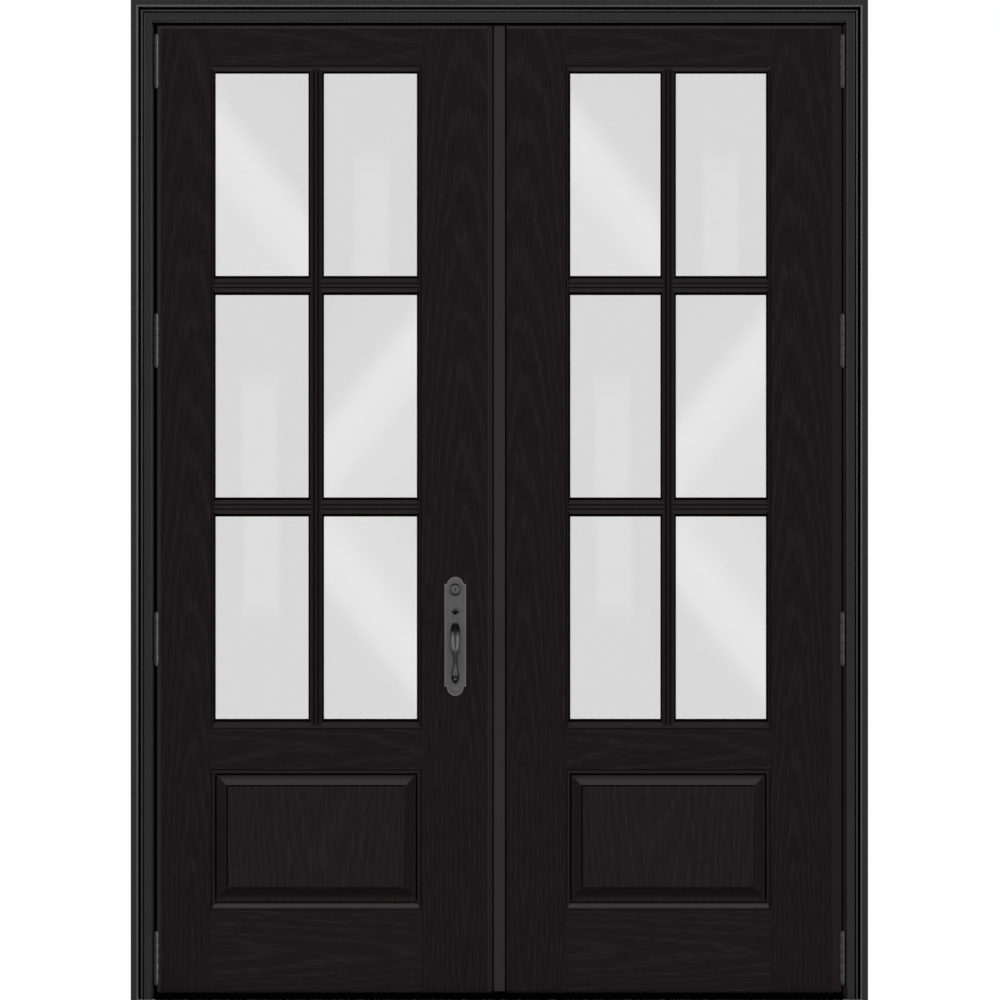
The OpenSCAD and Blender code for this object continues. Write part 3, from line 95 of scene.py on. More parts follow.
def byRange(tree, value, start, end, first=0.0, last=1.0):
    node = addNode(tree, "ShaderNodeMapRange",
                   **{"From Min": start, "From Max": end, "To Min": first, "To Max": last})
    tree.links.new(value, node.inputs["Value"])
    return node.outputs["Result"]


def distance(tree, value, centre):
    # how far a coordinate is from a plane, up to a metre
    return absolute(tree, byRange(tree, value, centre - 1, centre + 1, -1, 1))


def objectCoords(tree):
    return addNode(tree, "ShaderNodeTexCoord").outputs["Object"]


def splitUp(tree, vector):
    split = addNode(tree, "ShaderNodeSeparateXYZ")
    tree.links.new(vector, split.inputs[0])
    return split.outputs


def placeOf(tree):
    return splitUp(tree, objectCoords(tree))


def facingOf(tree):
    # the outward direction
    return splitUp(tree, addNode(tree, "ShaderNodeTexCoord").outputs["Normal"])


def spread(tree, coords, scale, place=(0, 0, 0), turn=(0, 0, 0)):
    mapping = addNode(tree, "ShaderNodeMapping", vector_type="TEXTURE", Scale=scale, Location=place, Rotation=turn)
    tree.links.new(coords, mapping.inputs["Vector"])
    return mapping.outputs["Vector"]


def radiusFrom(tree, centre):
    # distance from a line along Y
    flat = spread(tree, objectCoords(tree), (1, 1000, 1), (centre[0], 0, centre[1]))
    length = addNode(tree, "ShaderNodeVectorMath", operation="LENGTH")
    tree.links.new(flat, length.inputs[0])
    return length.outputs["Value"]


def noise(tree, coords, scale, detail, roughness=0.5):
    node = addNode(tree, "ShaderNodeTexNoise", Scale=scale, Detail=detail, Roughness=roughness)
    tree.links.new(coords, node.inputs["Vector"])
    return node.outputs["Fac"]


def twoTones(tree, factor, dark, light, low=0.0, high=1.0):
    ramp = addNode(tree, "ShaderNodeValToRGB")
    for element, position, colour in zip(ramp.color_ramp.elements, (low, high), (dark, light)):
        element.position = position
        element.color = colour
    tree.links.new(factor, ramp.inputs["Fac"])
    return ramp.outputs["Color"]


def mixed(tree, amount, colour, other):
    mix = addNode(tree, "ShaderNodeMix", data_type="RGBA")
    tree.links.new(amount, mix.inputs[0])
    tree.links.new(colour, mix.inputs[6])
    mix.inputs[7].default_value = other
    return mix.outputs[2]


def mixShaders(tree, share, first, second):
    mix = addNode(tree, "ShaderNodeMixShader")
    tree.links.new(share, mix.inputs["Fac"])
    tree.links.new(first.outputs[0], mix.inputs[1])
    tree.links.new(second.outputs[0], mix.inputs[2])
    return mix.outputs[0]


def addBump(tree, surface, height, strength, depth):
    bump = addNode(tree, "ShaderNodeBump", Strength=strength, Distance=depth)
    tree.links.new(height, bump.inputs["Height"])
    tree.links.new(bump.outputs["Normal"], surface.inputs["Normal"])


viewSettings = {
    "distance": 40.0,       # far away, as flat as a catalogue picture
    "height": 1.2525,
    "aside": 0.0015,
    "frameHeight": 2.505,   # what the picture shows from bottom to top
    "sensor": 36.0,
    "reach": 200.0,
}


def makeCamera():
    camera = bpy.data.cameras.new("frontCamera")
    camera.sensor_width = viewSettings["sensor"]
    camera.lens = viewSettings["sensor"] * viewSettings["distance"] / viewSettings["frameHeight"]
    camera.clip_end = viewSettings["reach"]
    holder = bpy.data.objects.new("frontCamera", camera)
    holder.location = (viewSettings["aside"], -viewSettings["distance"], viewSettings["height"])
    holder.rotation_euler = (math.radians(90), 0, 0)
    bpy.context.scene.collection.objects.link(holder)
    bpy.context.scene.camera = holder


lightSettings = {
    "sky": 0.62,            # level that the matt surfaces get from all round
    "aim": (0.0, 0.0, 1.0),
    # place, width, height and strength of the soft lamps, each turned to the aim
    "lamps": {
        "high": ((0.0, -25.0, 17.0), 14.0, 18.0, 2700.0),
        "left": ((-6.0, -1.2, 1.4), 2.6, 4.5, 210.0),
        "right": ((6.0, -1.2, 1.4), 2.6, 4.5, 210.0),
        "behind": ((0.0, 25.0, 17.0), 14.0, 18.0, 1800.0),
    },
}


def whiteRays(tree):
    # the rays to which floor and backdrop show plain white
    rays = addNode(tree, "ShaderNodeLightPath").outputs
    seen = greater(tree, rays["Is Camera Ray"], rays["Is Glossy Ray"])
    return greater(tree, seen, rays["Is Transmission Ray"])


def makeWorld():
    world = bpy.data.worlds.new("studio")
    world.use_nodes = True
    bpy.context.scene.world = world
    tree = world.node_tree
    tree.nodes.clear()
    glow = addNode(tree, "ShaderNodeBackground", Color=(1, 1, 1, 1), Strength=lightSettings["sky"])
    white = addNode(tree, "ShaderNodeBackground", Color=(1, 1, 1, 1), Strength=1.0)
    out = addNode(tree, "ShaderNodeOutputWorld")
    tree.links.new(mixShaders(tree, whiteRays(tree), glow, white), out.inputs["Surface"])


def makeLamps():
    for name, (place, width, height, strength) in lightSettings["lamps"].items():
        lamp = bpy.data.lights.new(name + "Softbox", "AREA")
        lamp.shape = "RECTANGLE"
        lamp.size = width
        lamp.size_y = height
        lamp.energy = strength
        holder = bpy.data.objects.new(name + "Softbox", lamp)
        holder.location = place
        aim = Vector(lightSettings["aim"]) - Vector(place)
        holder.rotation_euler = aim.to_track_quat("-Z", "Y").to_euler()
        holder.visible_camera = False
        bpy.context.scene.collection.objects.link(holder)


floorSettings = {
    "reach": 9.0,
    "below": 0.0005,
    "colour": (0.5, 0.5, 0.5, 1.0),
    "roughness": 0.9,
    "white": 1.56,          # with the floor's own light it comes to plain white
    "share": 0.5,           # the rest is left to the floor's own light and shadow
}


def makeFloor():
    mesh = bpy.data.meshes.new("studioFloor")
    shape = bmesh.new()
    bmesh.ops.create_grid(shape, x_segments=1, y_segments=1, size=floorSettings["reach"])
    bmesh.ops.translate(shape, verts=shape.verts, vec=(0, 0, -floorSettings["below"]))
    shape.to_mesh(mesh)
    shape.free()
    floor = bpy.data.objects.new("studioFloor", mesh)
    bpy.context.scene.collection.objects.link(floor)
    finish, tree, surface = newFinish("paleFloor")
    surface.inputs["Base Color"].default_value = floorSettings["colour"]
    surface.inputs["Roughness"].default_value = floorSettings["roughness"]
    white = addNode(tree, "ShaderNodeEmission", Strength=floorSettings["white"])
    share = byRange(tree, whiteRays(tree), 0, 1, 0, floorSettings["share"])
    tree.links.new(mixShaders(tree, share, surface, white), tree.nodes["Material Output"].inputs["Surface"])
    mesh.materials.append(finish)


bpy.context.scene.view_settings.view_transform = "Standard"
makeCamera()
makeWorld()
makeLamps()
makeFloor()
print("camera, light and floor made")


def dress(finish, *names):
    for name in names:
        mesh = nodes[name].data
        mesh.materials.clear()
        mesh.materials.append(finish)


shadeRules = {
    "black": (0.0006, 0.0005, 0.0005, 1.0),
    "flat": (0.96, 0.98),   # how squarely a groove's floor looks out
    "litBlur": 0.0004,
}


def shade(start, end, floors=False, until=None, share=1.0, lit=()):
    # painted shade: black from one depth to another, on floors alone, up to a further depth, and less at lit places
    return {"start": start, "end": end, "floors": floors, "until": until, "share": share, "lit": lit}


def shadeDepth(tree, colour, surface, shades, middle=None):
    # painted shade: black in quirks and grooves, by the depth along Y or by the distance from a middle plane; there
    # the surface also turns to black metal, so that it reflects nothing
    place = placeOf(tree)
    outward = facingOf(tree)["Y"]
    low, high = shadeRules["flat"]
    if middle:
        along = distance(tree, place["Y"], middle)
        flat = byRange(tree, absolute(tree, outward), low, high)
    else:
        along = place["Y"]
        flat = byRange(tree, outward, -low, -high)
    blur = shadeRules["litBlur"]
    amount = None
    for each in shades:
        depth = byRange(tree, along, each["start"], each["end"], 0, each["share"])
        if each["until"]:
            depth = multiplied(tree, depth, byRange(tree, along, *each["until"]))
        if each["floors"]:
            depth = multiplied(tree, depth, flat)
        for axis, centre, half, left in each["lit"]:
            away = distance(tree, place[axis], centre)
            depth = multiplied(tree, depth, byRange(tree, away, half - blur, half + blur, left, 1))
        amount = greater(tree, amount, depth) if amount else depth
    tree.links.new(amount, surface.inputs["Metallic"])
    return mixed(tree, amount, colour, shadeRules["black"])


slopeLightRules = {
    "share": 0.85,          # how much of its painted light or shade a slope takes on
    "steep": (0.62, 0.76),
}


def paintSlopeLight(tree, colour, lean, up, down, aside, steep=None):
    # painted light and shade: slopes that look up, down and aside take on tones of their own, lighter or darker as
    # the light would make them, in full from a given lean on, and steep walls at the sides take a painted shade
    facing = facingOf(tree)
    sides = absolute(tree, facing["X"])
    for direction, end, other in ((facing["Z"], lean, up), (facing["Z"], -lean, down), (sides, lean, aside)):
        colour = mixed(tree, byRange(tree, direction, 0, end, 0, slopeLightRules["share"]), colour, other)
    if steep:
        colour = mixed(tree, byRange(tree, sides, *slopeLightRules["steep"]), colour, steep)
    return colour


def edgeBand(tree, colour, bands):
    # a narrow band of another tone along an edge: (axis, start, end, tone)
    place = placeOf(tree)
    for axis, start, end, other in bands:
        colour = mixed(tree, byRange(tree, place[axis], start, end), colour, other)
    return colour


woodLook = {
    "dark": tone(12, 8.5, 9.5),
    "light": tone(36.5, 31, 32),
    "stain": (0.2, 0.64),           # shares of grain at which the dark and the light tone are full
    "ringWidth": 0.012,
    "ringStart": 0.55,              # the rest of each ring stays plain
    "ringShare": 0.12,
    "stretch": 7.0,                 # how far the arches are drawn out along the board
    "waver": {"Distortion": 7.0, "Detail": 3.0, "Detail Scale": 0.6, "Detail Roughness": 0.6},
    "lean": 0.07,                   # how far the log leans out of the board, which gives the arches
    "heartDepth": 0.09,
    "fibres": (18, 400, 420),       # to the metre along the board, into it and across it
    "fibreShare": 0.62,
    "breaks": (0.35, 0.62, 0, 1.6),     # how the fibres break up the rings
    "pores": (60, 500, 800),
    "poreStart": (0.6, 0.78),
    "poreShare": 0.22,
    "roughness": (0.25, 0.42),
    "specular": 0.05,
    "bump": (0.3, 0.0004),
    "middle": 0.02225,              # depth of the leaves' middle plane
}


def grainSize(counts, alongX):
    along, deep, across = (1 / count for count in counts)
    return (along, deep, across) if alongX else (across, deep, along)


def woodFinish(name, heart, seed, lean, lighter, rings, alongX=False, shades=None, blend=None, bands=None,
               specular=woodLook["specular"]):
    # stained open-pored wood: fine arches of a leaning log, fibres and pores along the board
    finish, tree, surface = newFinish(name)
    link = tree.links.new
    coord = objectCoords(tree)
    leaning = woodLook["lean"] * lean
    turn = (0, 0, leaning) if alongX else (leaning, 0, 0)
    stretch = grainSize((1 / woodLook["stretch"], 1, 1), alongX)
    log = spread(tree, coord, stretch, (heart[0], woodLook["heartDepth"], heart[1]), turn)
    arches = addNode(tree, "ShaderNodeTexWave", wave_type="RINGS", rings_direction="X" if alongX else "Z",
                     Scale=2 * math.pi / 20 / woodLook["ringWidth"], **woodLook["waver"], **{"Phase Offset": seed})
    link(log, arches.inputs["Vector"])
    thin = byRange(tree, arches.outputs["Fac"], woodLook["ringStart"], 1, 0, woodLook["ringShare"] * rings)
    fibre = noise(tree, spread(tree, coord, grainSize(woodLook["fibres"], alongX), (seed, 0, seed)), 1.0, 4.0, 0.65)
    broken = multiplied(tree, thin, byRange(tree, fibre, *woodLook["breaks"]))
    grain = addNode(tree, "ShaderNodeMath", operation="MULTIPLY_ADD")
    grain.inputs[1].default_value = woodLook["fibreShare"]
    link(fibre, grain.inputs[0])
    link(broken, grain.inputs[2])
    pores = noise(tree, spread(tree, coord, grainSize(woodLook["pores"], alongX), (0, 0, seed)), 1.0, 1.0)
    pored = byRange(tree, pores, *woodLook["poreStart"], 0, -woodLook["poreShare"])
    stained = arith(tree, "ADD", grain.outputs[0], pored)
    low, high = woodLook["stain"]
    colour = twoTones(tree, stained, woodLook["dark"], woodLook["light"], low - lighter, high - lighter)
    # painted light and shade on the slopes
    if blend:
        colour = paintSlopeLight(tree, colour, *blend)
    if bands:
        colour = edgeBand(tree, colour, bands)
    # painted shade in quirks and grooves
    if shades:
        colour = shadeDepth(tree, colour, surface, shades, woodLook["middle"])
    link(colour, surface.inputs["Base Color"])
    link(byRange(tree, fibre, 0, 1, *woodLook["roughness"]), surface.inputs["Roughness"])
    surface.inputs["Specular IOR Level"].default_value = specular
    addBump(tree, surface, stained, *woodLook["bump"])
    return finish


bandLook = {
    "top": ("Z", 2.4325, 2.4345, tone(40, 39, 40)),
    "left": ("X", -0.8478, -0.8495, tone(40, 39, 40)),
    "right": ("X", 0.830, 0.838, tone(33, 28, 29)),
    # a painted highlight line, and a paler painted highlight along the edge beside the strip
    "lockHighlightLine": ("X", -0.0292, -0.0286, tone(41, 37, 38)),
    "lockEdgeHighlight": ("X", -0.0264, -0.0258, tone(30, 26, 27)),
}
boardLook = {
    # seed and lean of the grain, how much lighter, share of the rings
    "hinge_stile": (1.3, -1.0, 0.0, 1.0),
    "lock_stile": (4.1, -1.0, 0.0, 1.0),
    "meeting_stile": (4.1, -1.0, 0.0, 1.0),
    "top_rail": (2.2, 0.6, 0.02, 1.0),
    "lock_rail": (5.6, 0.6, 0.02, 1.0),
    "bottom_rail": (9.4, 0.6, 0.05, 1.0),
    "panel": (7.7, 1.0, 0.12, 0.8),
}
leafLook = {
    # where the heart of the log lies from a board's middle, and a seed of the leaf's own
    "heartShift": {"active": 0.02, "passive": -0.03},
    "heartUp": 0.1,
    "heartAlongRail": 0.03,
    "seed": {"active": 6, "passive": 7},
    "bands": {
        "active_hinge_stile": ("top", "left"),
        "active_lock_stile": ("top", "lockHighlightLine", "lockEdgeHighlight"),
        "active_top_rail": ("top",),
        "passive_hinge_stile": ("top", "right"),
        "passive_meeting_stile": ("top",),
        "passive_top_rail": ("top",),
    },
}
panelLook = {
    # painted shade in the groove at the rim and in the one round the field, as distance from the leaf's middle plane
    "rimGroove": shade(0.01165, 0.01145, True, lit=(("Z", 0.2468, 0.0035, 0.3),)),
    "fieldGroove": (0.0163, 0.0161, True, (0.0150, 0.0154), 1.0),
    # the painted shade in the groove round the field is dark above and on the left, and lit on the right and below
    "fieldRight": {"active": -0.2352, "passive": 0.6390},
    "litRight": (0.003, 0.2),
    "litBelow": ("Z", 0.2818, 0.003, 0.1),
    # lean, then the painted light and shade of slopes that look up, down and aside
    "blend": (0.12, tone(46.5, 42.5, 43.5), tone(5, 3, 3), tone(19, 16, 17)),
}


def stainBoard(side, board):
    name = side + "_" + board
    seed, lean, lighter, rings = boardLook[board]
    low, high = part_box(name)
    middle = (low + high) / 2
    alongX = board.endswith("rail")
    if alongX:
        heart = (middle.x + seed * leafLook["heartAlongRail"], middle.z)
    else:
        heart = (middle.x + leafLook["heartShift"][side], middle.z + seed * leafLook["heartUp"])
    shades = blend = None
    if board == "panel":
        lit = (("X", panelLook["fieldRight"][side], *panelLook["litRight"]), panelLook["litBelow"])
        shades = (panelLook["rimGroove"], shade(*panelLook["fieldGroove"], lit))
        blend = panelLook["blend"]
    bands = [bandLook[band] for band in leafLook["bands"].get(name, ())]
    dress(woodFinish(name + "Wood", heart, seed + leafLook["seed"][side], lean, lighter, rings, alongX, shades, blend,
                     bands), name)


mouldingLook = {
    # heart, seed and lean of the grain, how much lighter, share of the rings
    "grain": ((0.0, 0.4), 3.3, 0.3, 0.0, 0.3),
    # painted shade: the quirks and the groove floors are black
    "shades": (shade(0.0182, 0.0140), shade(0.0202, 0.0194, True)),
    # lean, then the painted light and shade of slopes that look up, down and aside
    "blend": (0.3, tone(56, 52, 53), tone(37, 33, 34), tone(19, 16, 17)),
}
barLook = {
    "grain": ((0.0, 0.4), 6.1, 0.3, 0.18, 0.3),
    # painted shade: black along the glass, and half black on the quirk floors
    "shades": (shade(0.01600, 0.01520), shade(0.01945, 0.01905, True, share=0.5)),
    # lean, then the painted light and shade of slopes that look up, down and aside; the last tone is the painted
    # shade of steep walls
    "blend": (0.3, tone(43, 39, 40), tone(52, 48, 49), tone(36, 32, 33), tone(10, 8, 9)),
    "specular": 0.0,
}

for side, far in (("active", "lock_stile"), ("passive", "meeting_stile")):
    for board in ("hinge_stile", far, "panel", "top_rail", "lock_rail", "bottom_rail"):
        stainBoard(side, board)
    dress(woodFinish(side + "MouldingWood", *mouldingLook["grain"], shades=mouldingLook["shades"],
                     blend=mouldingLook["blend"]), side + "_panel_mouldings")
    for face in ("outer", "inner"):
        dress(woodFinish(side + face.capitalize() + "BarWood", *barLook["grain"], shades=barLook["shades"],
                         blend=barLook["blend"], specular=barLook["specular"]), side + "_" + face + "_glazing_bars")
print("leaves stained")


arrisHighlightLook = {
    "square": (0.97, 0.85),         # faces that look straight out or aside get no painted highlight
    "aside": (0.15, 0.4),
    "blur": 0.0006,
    "width": (0.917, 0.915),        # the outermost arrises stay as they are
    "height": (2.4995, 2.4975),
}


def paintArrisHighlights(tree, colour, limit, other):
    # painted highlight: the rounded arrises of the raised members are lighter
    place = placeOf(tree)
    level = absolute(tree, facingOf(tree)["Y"])
    amount = multiplied(tree, byRange(tree, level, *arrisHighlightLook["square"]), byRange(tree, level, *arrisHighlightLook["aside"]))
    for within in (byRange(tree, place["Y"], limit, limit - arrisHighlightLook["blur"]),
                   byRange(tree, absolute(tree, place["X"]), *arrisHighlightLook["width"]),
                   byRange(tree, place["Z"], *arrisHighlightLook["height"])):
        amount = multiplied(tree, amount, within)
    return mixed(tree, amount, colour, other)


paintLook = {
    "clouds": (9.0, 4.0, 0.6),
    "cloudTones": (0.3, 0.7),
    "uneven": 0.06,                 # by how much the roughness varies
    "peel": (0.12, 0.0002),
}


def paintFinish(name, tones, roughness, specular, grain=900.0, metallic=0.0, shades=None, arrisHighlight=None, bands=None):
    # sprayed paint: soft clouds of tone and a fine orange peel
    finish, tree, surface = newFinish(name)
    coord = objectCoords(tree)
    cloud = noise(tree, coord, *paintLook["clouds"])
    colour = twoTones(tree, cloud, *tones, *paintLook["cloudTones"])
    if arrisHighlight:
        colour = paintArrisHighlights(tree, colour, *arrisHighlight)
    if bands:
        colour = edgeBand(tree, colour, bands)
    surface.inputs["Metallic"].default_value = metallic
    if shades:
        colour = shadeDepth(tree, colour, surface, shades)
    tree.links.new(colour, surface.inputs["Base Color"])
    rough = byRange(tree, cloud, 0, 1, roughness - paintLook["uneven"], roughness + paintLook["uneven"])
    tree.links.new(rough, surface.inputs["Roughness"])
    surface.inputs["Specular IOR Level"].default_value = specular
    addBump(tree, surface, noise(tree, coord, grain, 1.0), *paintLook["peel"])
    return finish


drawnLook = {
    "fine": 1 / 900,                # width of the lines
    "long": 1 / 6,
    "lines": (1.0, 3.0, 0.7),
    "lineTones": (0.25, 0.75),
    "uneven": (0.08, 0.1),          # by how much the roughness falls and rises
    "bump": (0.08, 0.0001),
    "streakHighlight": ((0.2, 0.4), (0.85, 0.65)),   # the painted highlight streak of a barrel looks half aside
}


def drawnFinish(name, tones, roughness, metallic, specular=0.5, along="Z", shades=None, streakHighlight=None, bands=None):
    # drawn or brushed metal: fine lines along the piece
    finish, tree, surface = newFinish(name)
    size = [drawnLook["long"] if axis == along else drawnLook["fine"] for axis in "XYZ"]
    lines = noise(tree, spread(tree, objectCoords(tree), size), *drawnLook["lines"])
    colour = twoTones(tree, lines, *tones, *drawnLook["lineTones"])
    # a painted highlight streak along the part of a barrel that looks half aside
    if streakHighlight:
        aside = facingOf(tree)["X"]
        start, end = drawnLook["streakHighlight"]
        streak = multiplied(tree, byRange(tree, aside, *start), byRange(tree, aside, *end))
        colour = mixed(tree, streak, colour, streakHighlight)
    if bands:
        colour = edgeBand(tree, colour, bands)
    surface.inputs["Metallic"].default_value = metallic
    if shades:
        colour = shadeDepth(tree, colour, surface, shades)
    tree.links.new(colour, surface.inputs["Base Color"])
    less, more = drawnLook["uneven"]
    tree.links.new(byRange(tree, lines, 0, 1, roughness - less, roughness + more), surface.inputs["Roughness"])
    surface.inputs["Specular IOR Level"].default_value = specular
    addBump(tree, surface, lines, *drawnLook["bump"])
    return finish


casingLook = {
    "tones": (tone(24, 24, 24), tone(28, 28, 28)),
    "roughness": 0.24,
    "specular": 0.2,
    # painted shade: the floors of the grooves are black
    "shades": (shade(-0.0145, -0.0125, True),),
    "arrisHighlight": (-0.0172, tone(84, 84, 84)),    # how far out the raised members start, and the tone of their painted highlight
}
dress(paintFinish("casingSatinGrey", **casingLook), "left_casing", "right_casing", "head_casing")

jambLook = {
    "tones": (tone(25, 20, 21), tone(30, 25, 26)),
    "roughness": 0.5,
    "specular": 0.05,
}
revealLook = {
    # the reveal beside the casing is painted grey like the casing, in a lighter tone that makes up for the shade of
    # the corner, and its inner part is painted black as shade
    "left_jamb": (("X", -0.8690, 0.0025, 0.0), ("X", -0.8660, -0.8668, tone(50, 50, 50))),
    "head_jamb": (("Z", 2.4515, 0.0031, 0.0), ("Z", 2.4480, 2.4488, tone(78, 78, 78))),
}
for name, (lit, band) in revealLook.items():
    dress(paintFinish(name + "Paint", **jambLook, shades=(shade(0.004, 0.001, lit=(lit,)),), bands=[band]), name)
# the right jamb gets no painted shade in its reveal
dress(paintFinish("jambBrownBlackPaint", **jambLook), "right_jamb")

stripLook = {
    "tones": (tone(36, 32, 33), tone(42, 38, 39)),
    "roughness": 0.42,
    "metallic": 0.0,
    "specular": 0.1,
    # painted shade: the floors of the rebates are black
    "shades": (shade(0.003, 0.004, True),),
}
dress(drawnFinish("stripSatinGrey", **stripLook), "astragal")

sillLook = {
    "tones": (tone(13, 13, 13), tone(18, 18, 18)),
    "roughness": 0.45,
    "metallic": 0.0,
    "specular": 0.0,
    "along": "X",
    "bands": [("Y", 0.004, -0.002, tone(1, 1, 1))],     # the nose in front of the leaves is deep black
}
dress(drawnFinish("sillBlackAnodised", **sillLook), "sill")

softLook = {
    # tones, roughness, gloss and fineness of rubber, plastic and spacer
    "seal": ((tone(12, 12, 12), tone(18, 18, 18)), 0.75, 0.2, 500.0),
    "guide": ((tone(15, 15, 15), tone(20, 20, 20)), 0.55, 0.3, 700.0),
    "spacer": ((tone(38, 38, 38), tone(44, 44, 44)), 0.6, 0.3, 600.0),
}
sealRubber = paintFinish("sealBlackRubber", *softLook["seal"])
dress(sealRubber, "sill_bumper", "weatherstrip", "astragal_seal", "active_sweep", "passive_sweep")
dress(paintFinish("guideBlackPlastic", *softLook["guide"]), "flush_bolt_guides")
dress(paintFinish("spacerDarkGrey", *softLook["spacer"]), "active_glass_spacer", "passive_glass_spacer")

metalLook = {
    # tones, roughness, gloss, fineness and metal of the cast pieces
    "pewter": ((tone(64, 63, 64), tone(74, 73, 74)), 0.36, 0.3, 700.0, 0.35),
    # painted shade: the thumbpiece is near black
    "shadedPewter": ((tone(10, 10, 10), tone(16, 16, 16)), 0.5, 0.1, 700.0, 0.3),
    # tones, roughness, metal and gloss of the drawn ones
    "hinge": ((tone(40, 40, 41), tone(48, 48, 49)), 0.4, 0.2, 0.2),
    "hingeStreakHighlight": tone(96, 96, 96),
    "steel": ((tone(120, 120, 122), tone(140, 140, 142)), 0.35, 0.8),
}
pewterFinish = paintFinish("handlesetPewter", *metalLook["pewter"])
dress(pewterFinish, "lock_faceplate", "trim_screws", "inside_knob", "thumbturn", "strike_plate")
dress(paintFinish("thumbpieceShadedPewter", *metalLook["shadedPewter"]), "thumbpiece")
dress(drawnFinish("hingeDarkSteel", *metalLook["hinge"], streakHighlight=metalLook["hingeStreakHighlight"]),
      "frame_hinge_plates", "active_hinge_plates", "passive_hinge_plates", "hinge_pins")
dress(drawnFinish("plainSteel", *metalLook["steel"]),
      "frame_hinge_screws", "active_hinge_screws", "passive_hinge_screws", "head_keeper", "lock_case",
      "latch_bolt", "deadbolt", "top_flush_bolt", "bottom_flush_bolt")


def greys(tree, value, stops):
    # tones along a measure, as (value, grey)
    start, end = stops[0][0], stops[-1][0]
    ramp = addNode(tree, "ShaderNodeValToRGB")
    elements = ramp.color_ramp.elements
    while len(elements) < len(stops):
        elements.new(0.5)
    for element, (at, grey) in zip(elements, stops):
        element.position = (at - start) / (end - start)
        element.color = tone(grey, grey * 0.99, grey)
    tree.links.new(byRange(tree, value, start, end), ramp.inputs["Fac"])
    return ramp.outputs["Color"]


pewterLightShadeLook = {
    "grain": 700.0,
    "uneven": 0.06,
    "metallic": 0.6,
    "specular": 0.2,
    "bump": (0.1, 0.0002),
}


def pewterLightShadeFinish(name, colourOf, roughness):
    # cast pewter, with painted shade in its hollows and painted highlights on what stands out
    finish, tree, surface = newFinish(name)
    tree.links.new(colourOf(tree), surface.inputs["Base Color"])
    cast = noise(tree, objectCoords(tree), pewterLightShadeLook["grain"], 2.0)
    rough = byRange(tree, cast, 0, 1, roughness - pewterLightShadeLook["uneven"], roughness + pewterLightShadeLook["uneven"])
    tree.links.new(rough, surface.inputs["Roughness"])
    surface.inputs["Metallic"].default_value = pewterLightShadeLook["metallic"]
    surface.inputs["Specular IOR Level"].default_value = pewterLightShadeLook["specular"]
    addBump(tree, surface, cast, *pewterLightShadeLook["bump"])
    return finish


plateLook = {
    "dark": tone(76, 75, 76),
    "light": tone(84, 83, 84),
    "bright": tone(104, 101, 102),
    "line": tone(62, 61, 62),
    "middle": 0.02225,
    "rim": (0.0252, 0.0244),        # the step lies nearer to the leaf than the plate's face
    "lobe": (-0.1105, 0.785),
    "lineInside": (0.0138, 0.0148),
    "lineOutside": (0.0166, 0.0156),
    "lineFade": 0.004,
    "roughness": 0.38,
}


def plateColour(tree):
    # satin plate with a painted highlight on its stepped rim and a line round its lower lobe
    cloud = noise(tree, objectCoords(tree), 60.0, 3.0)
    colour = twoTones(tree, cloud, plateLook["dark"], plateLook["light"], 0.3, 0.7)
    place = placeOf(tree)
    rim = byRange(tree, distance(tree, place["Y"], plateLook["middle"]), *plateLook["rim"])
    colour = mixed(tree, rim, colour, plateLook["bright"])
    radius = radiusFrom(tree, plateLook["lobe"])
    line = multiplied(tree, byRange(tree, radius, *plateLook["lineInside"]),
                      byRange(tree, radius, *plateLook["lineOutside"]))
    height = plateLook["lobe"][1]
    low = byRange(tree, place["Z"], height, height - plateLook["lineFade"])
    return mixed(tree, multiplied(tree, line, low), colour, plateLook["line"])


dress(pewterLightShadeFinish("platePaintedLight", plateColour, plateLook["roughness"]), "outside_plate", "inside_plate")

gripTones = {
    "middle": -0.1105,
    # painted highlights and painted shade up the grip, as (height, grey)
    "upwards": ((0.7975, 14), (0.7998, 24), (0.8020, 120), (0.8042, 130), (0.8060, 70), (0.8086, 14), (0.8112, 40),
                (0.8150, 84), (0.8320, 82), (0.8450, 50), (0.8620, 44), (0.8740, 54), (0.8800, 84), (0.9080, 92),
                (0.9190, 60), (0.9250, 12), (0.9400, 5), (0.9415, 30)),
    # painted shade down the valley of the upper part
    "valley": tone(30, 30, 30),
    "valleyWidth": (0.0022, 0.0008),
    "valleyFoot": (0.872, 0.884),
    # a painted highlight on the bead at the foot, with painted shade on either side
    "beadTop": (0.8080, 0.8068),
    "beadFoot": (0.7985, 0.7995),
    "beadWidth": (0.0022, 0.0046),
    "besideBead": tone(16, 16, 16),
    # painted shade on the flanks, which look aside
    "flanks": tone(12, 12, 12),
    "flanksLean": (0.35, 0.7),
    "roughness": 0.4,
}


def gripColour(tree):
    # the grip's painted highlights and painted shade
    place = placeOf(tree)
    height = place["Z"]
    aside = distance(tree, place["X"], gripTones["middle"])
    colour = greys(tree, height, gripTones["upwards"])
    valley = multiplied(tree, byRange(tree, aside, *gripTones["valleyWidth"]),
                        byRange(tree, height, *gripTones["valleyFoot"]))
    colour = mixed(tree, valley, colour, gripTones["valley"])
    foot = multiplied(tree, byRange(tree, height, *gripTones["beadTop"]),
                      byRange(tree, height, *gripTones["beadFoot"]))
    beside = multiplied(tree, foot, byRange(tree, aside, *gripTones["beadWidth"]))
    colour = mixed(tree, beside, colour, gripTones["besideBead"])
    flanks = byRange(tree, absolute(tree, facingOf(tree)["X"]), *gripTones["flanksLean"])
    return mixed(tree, flanks, colour, gripTones["flanks"])


gripPaintedLight = pewterLightShadeFinish("gripPaintedLight", gripColour, gripTones["roughness"])
dress(gripPaintedLight, "pull_grip")

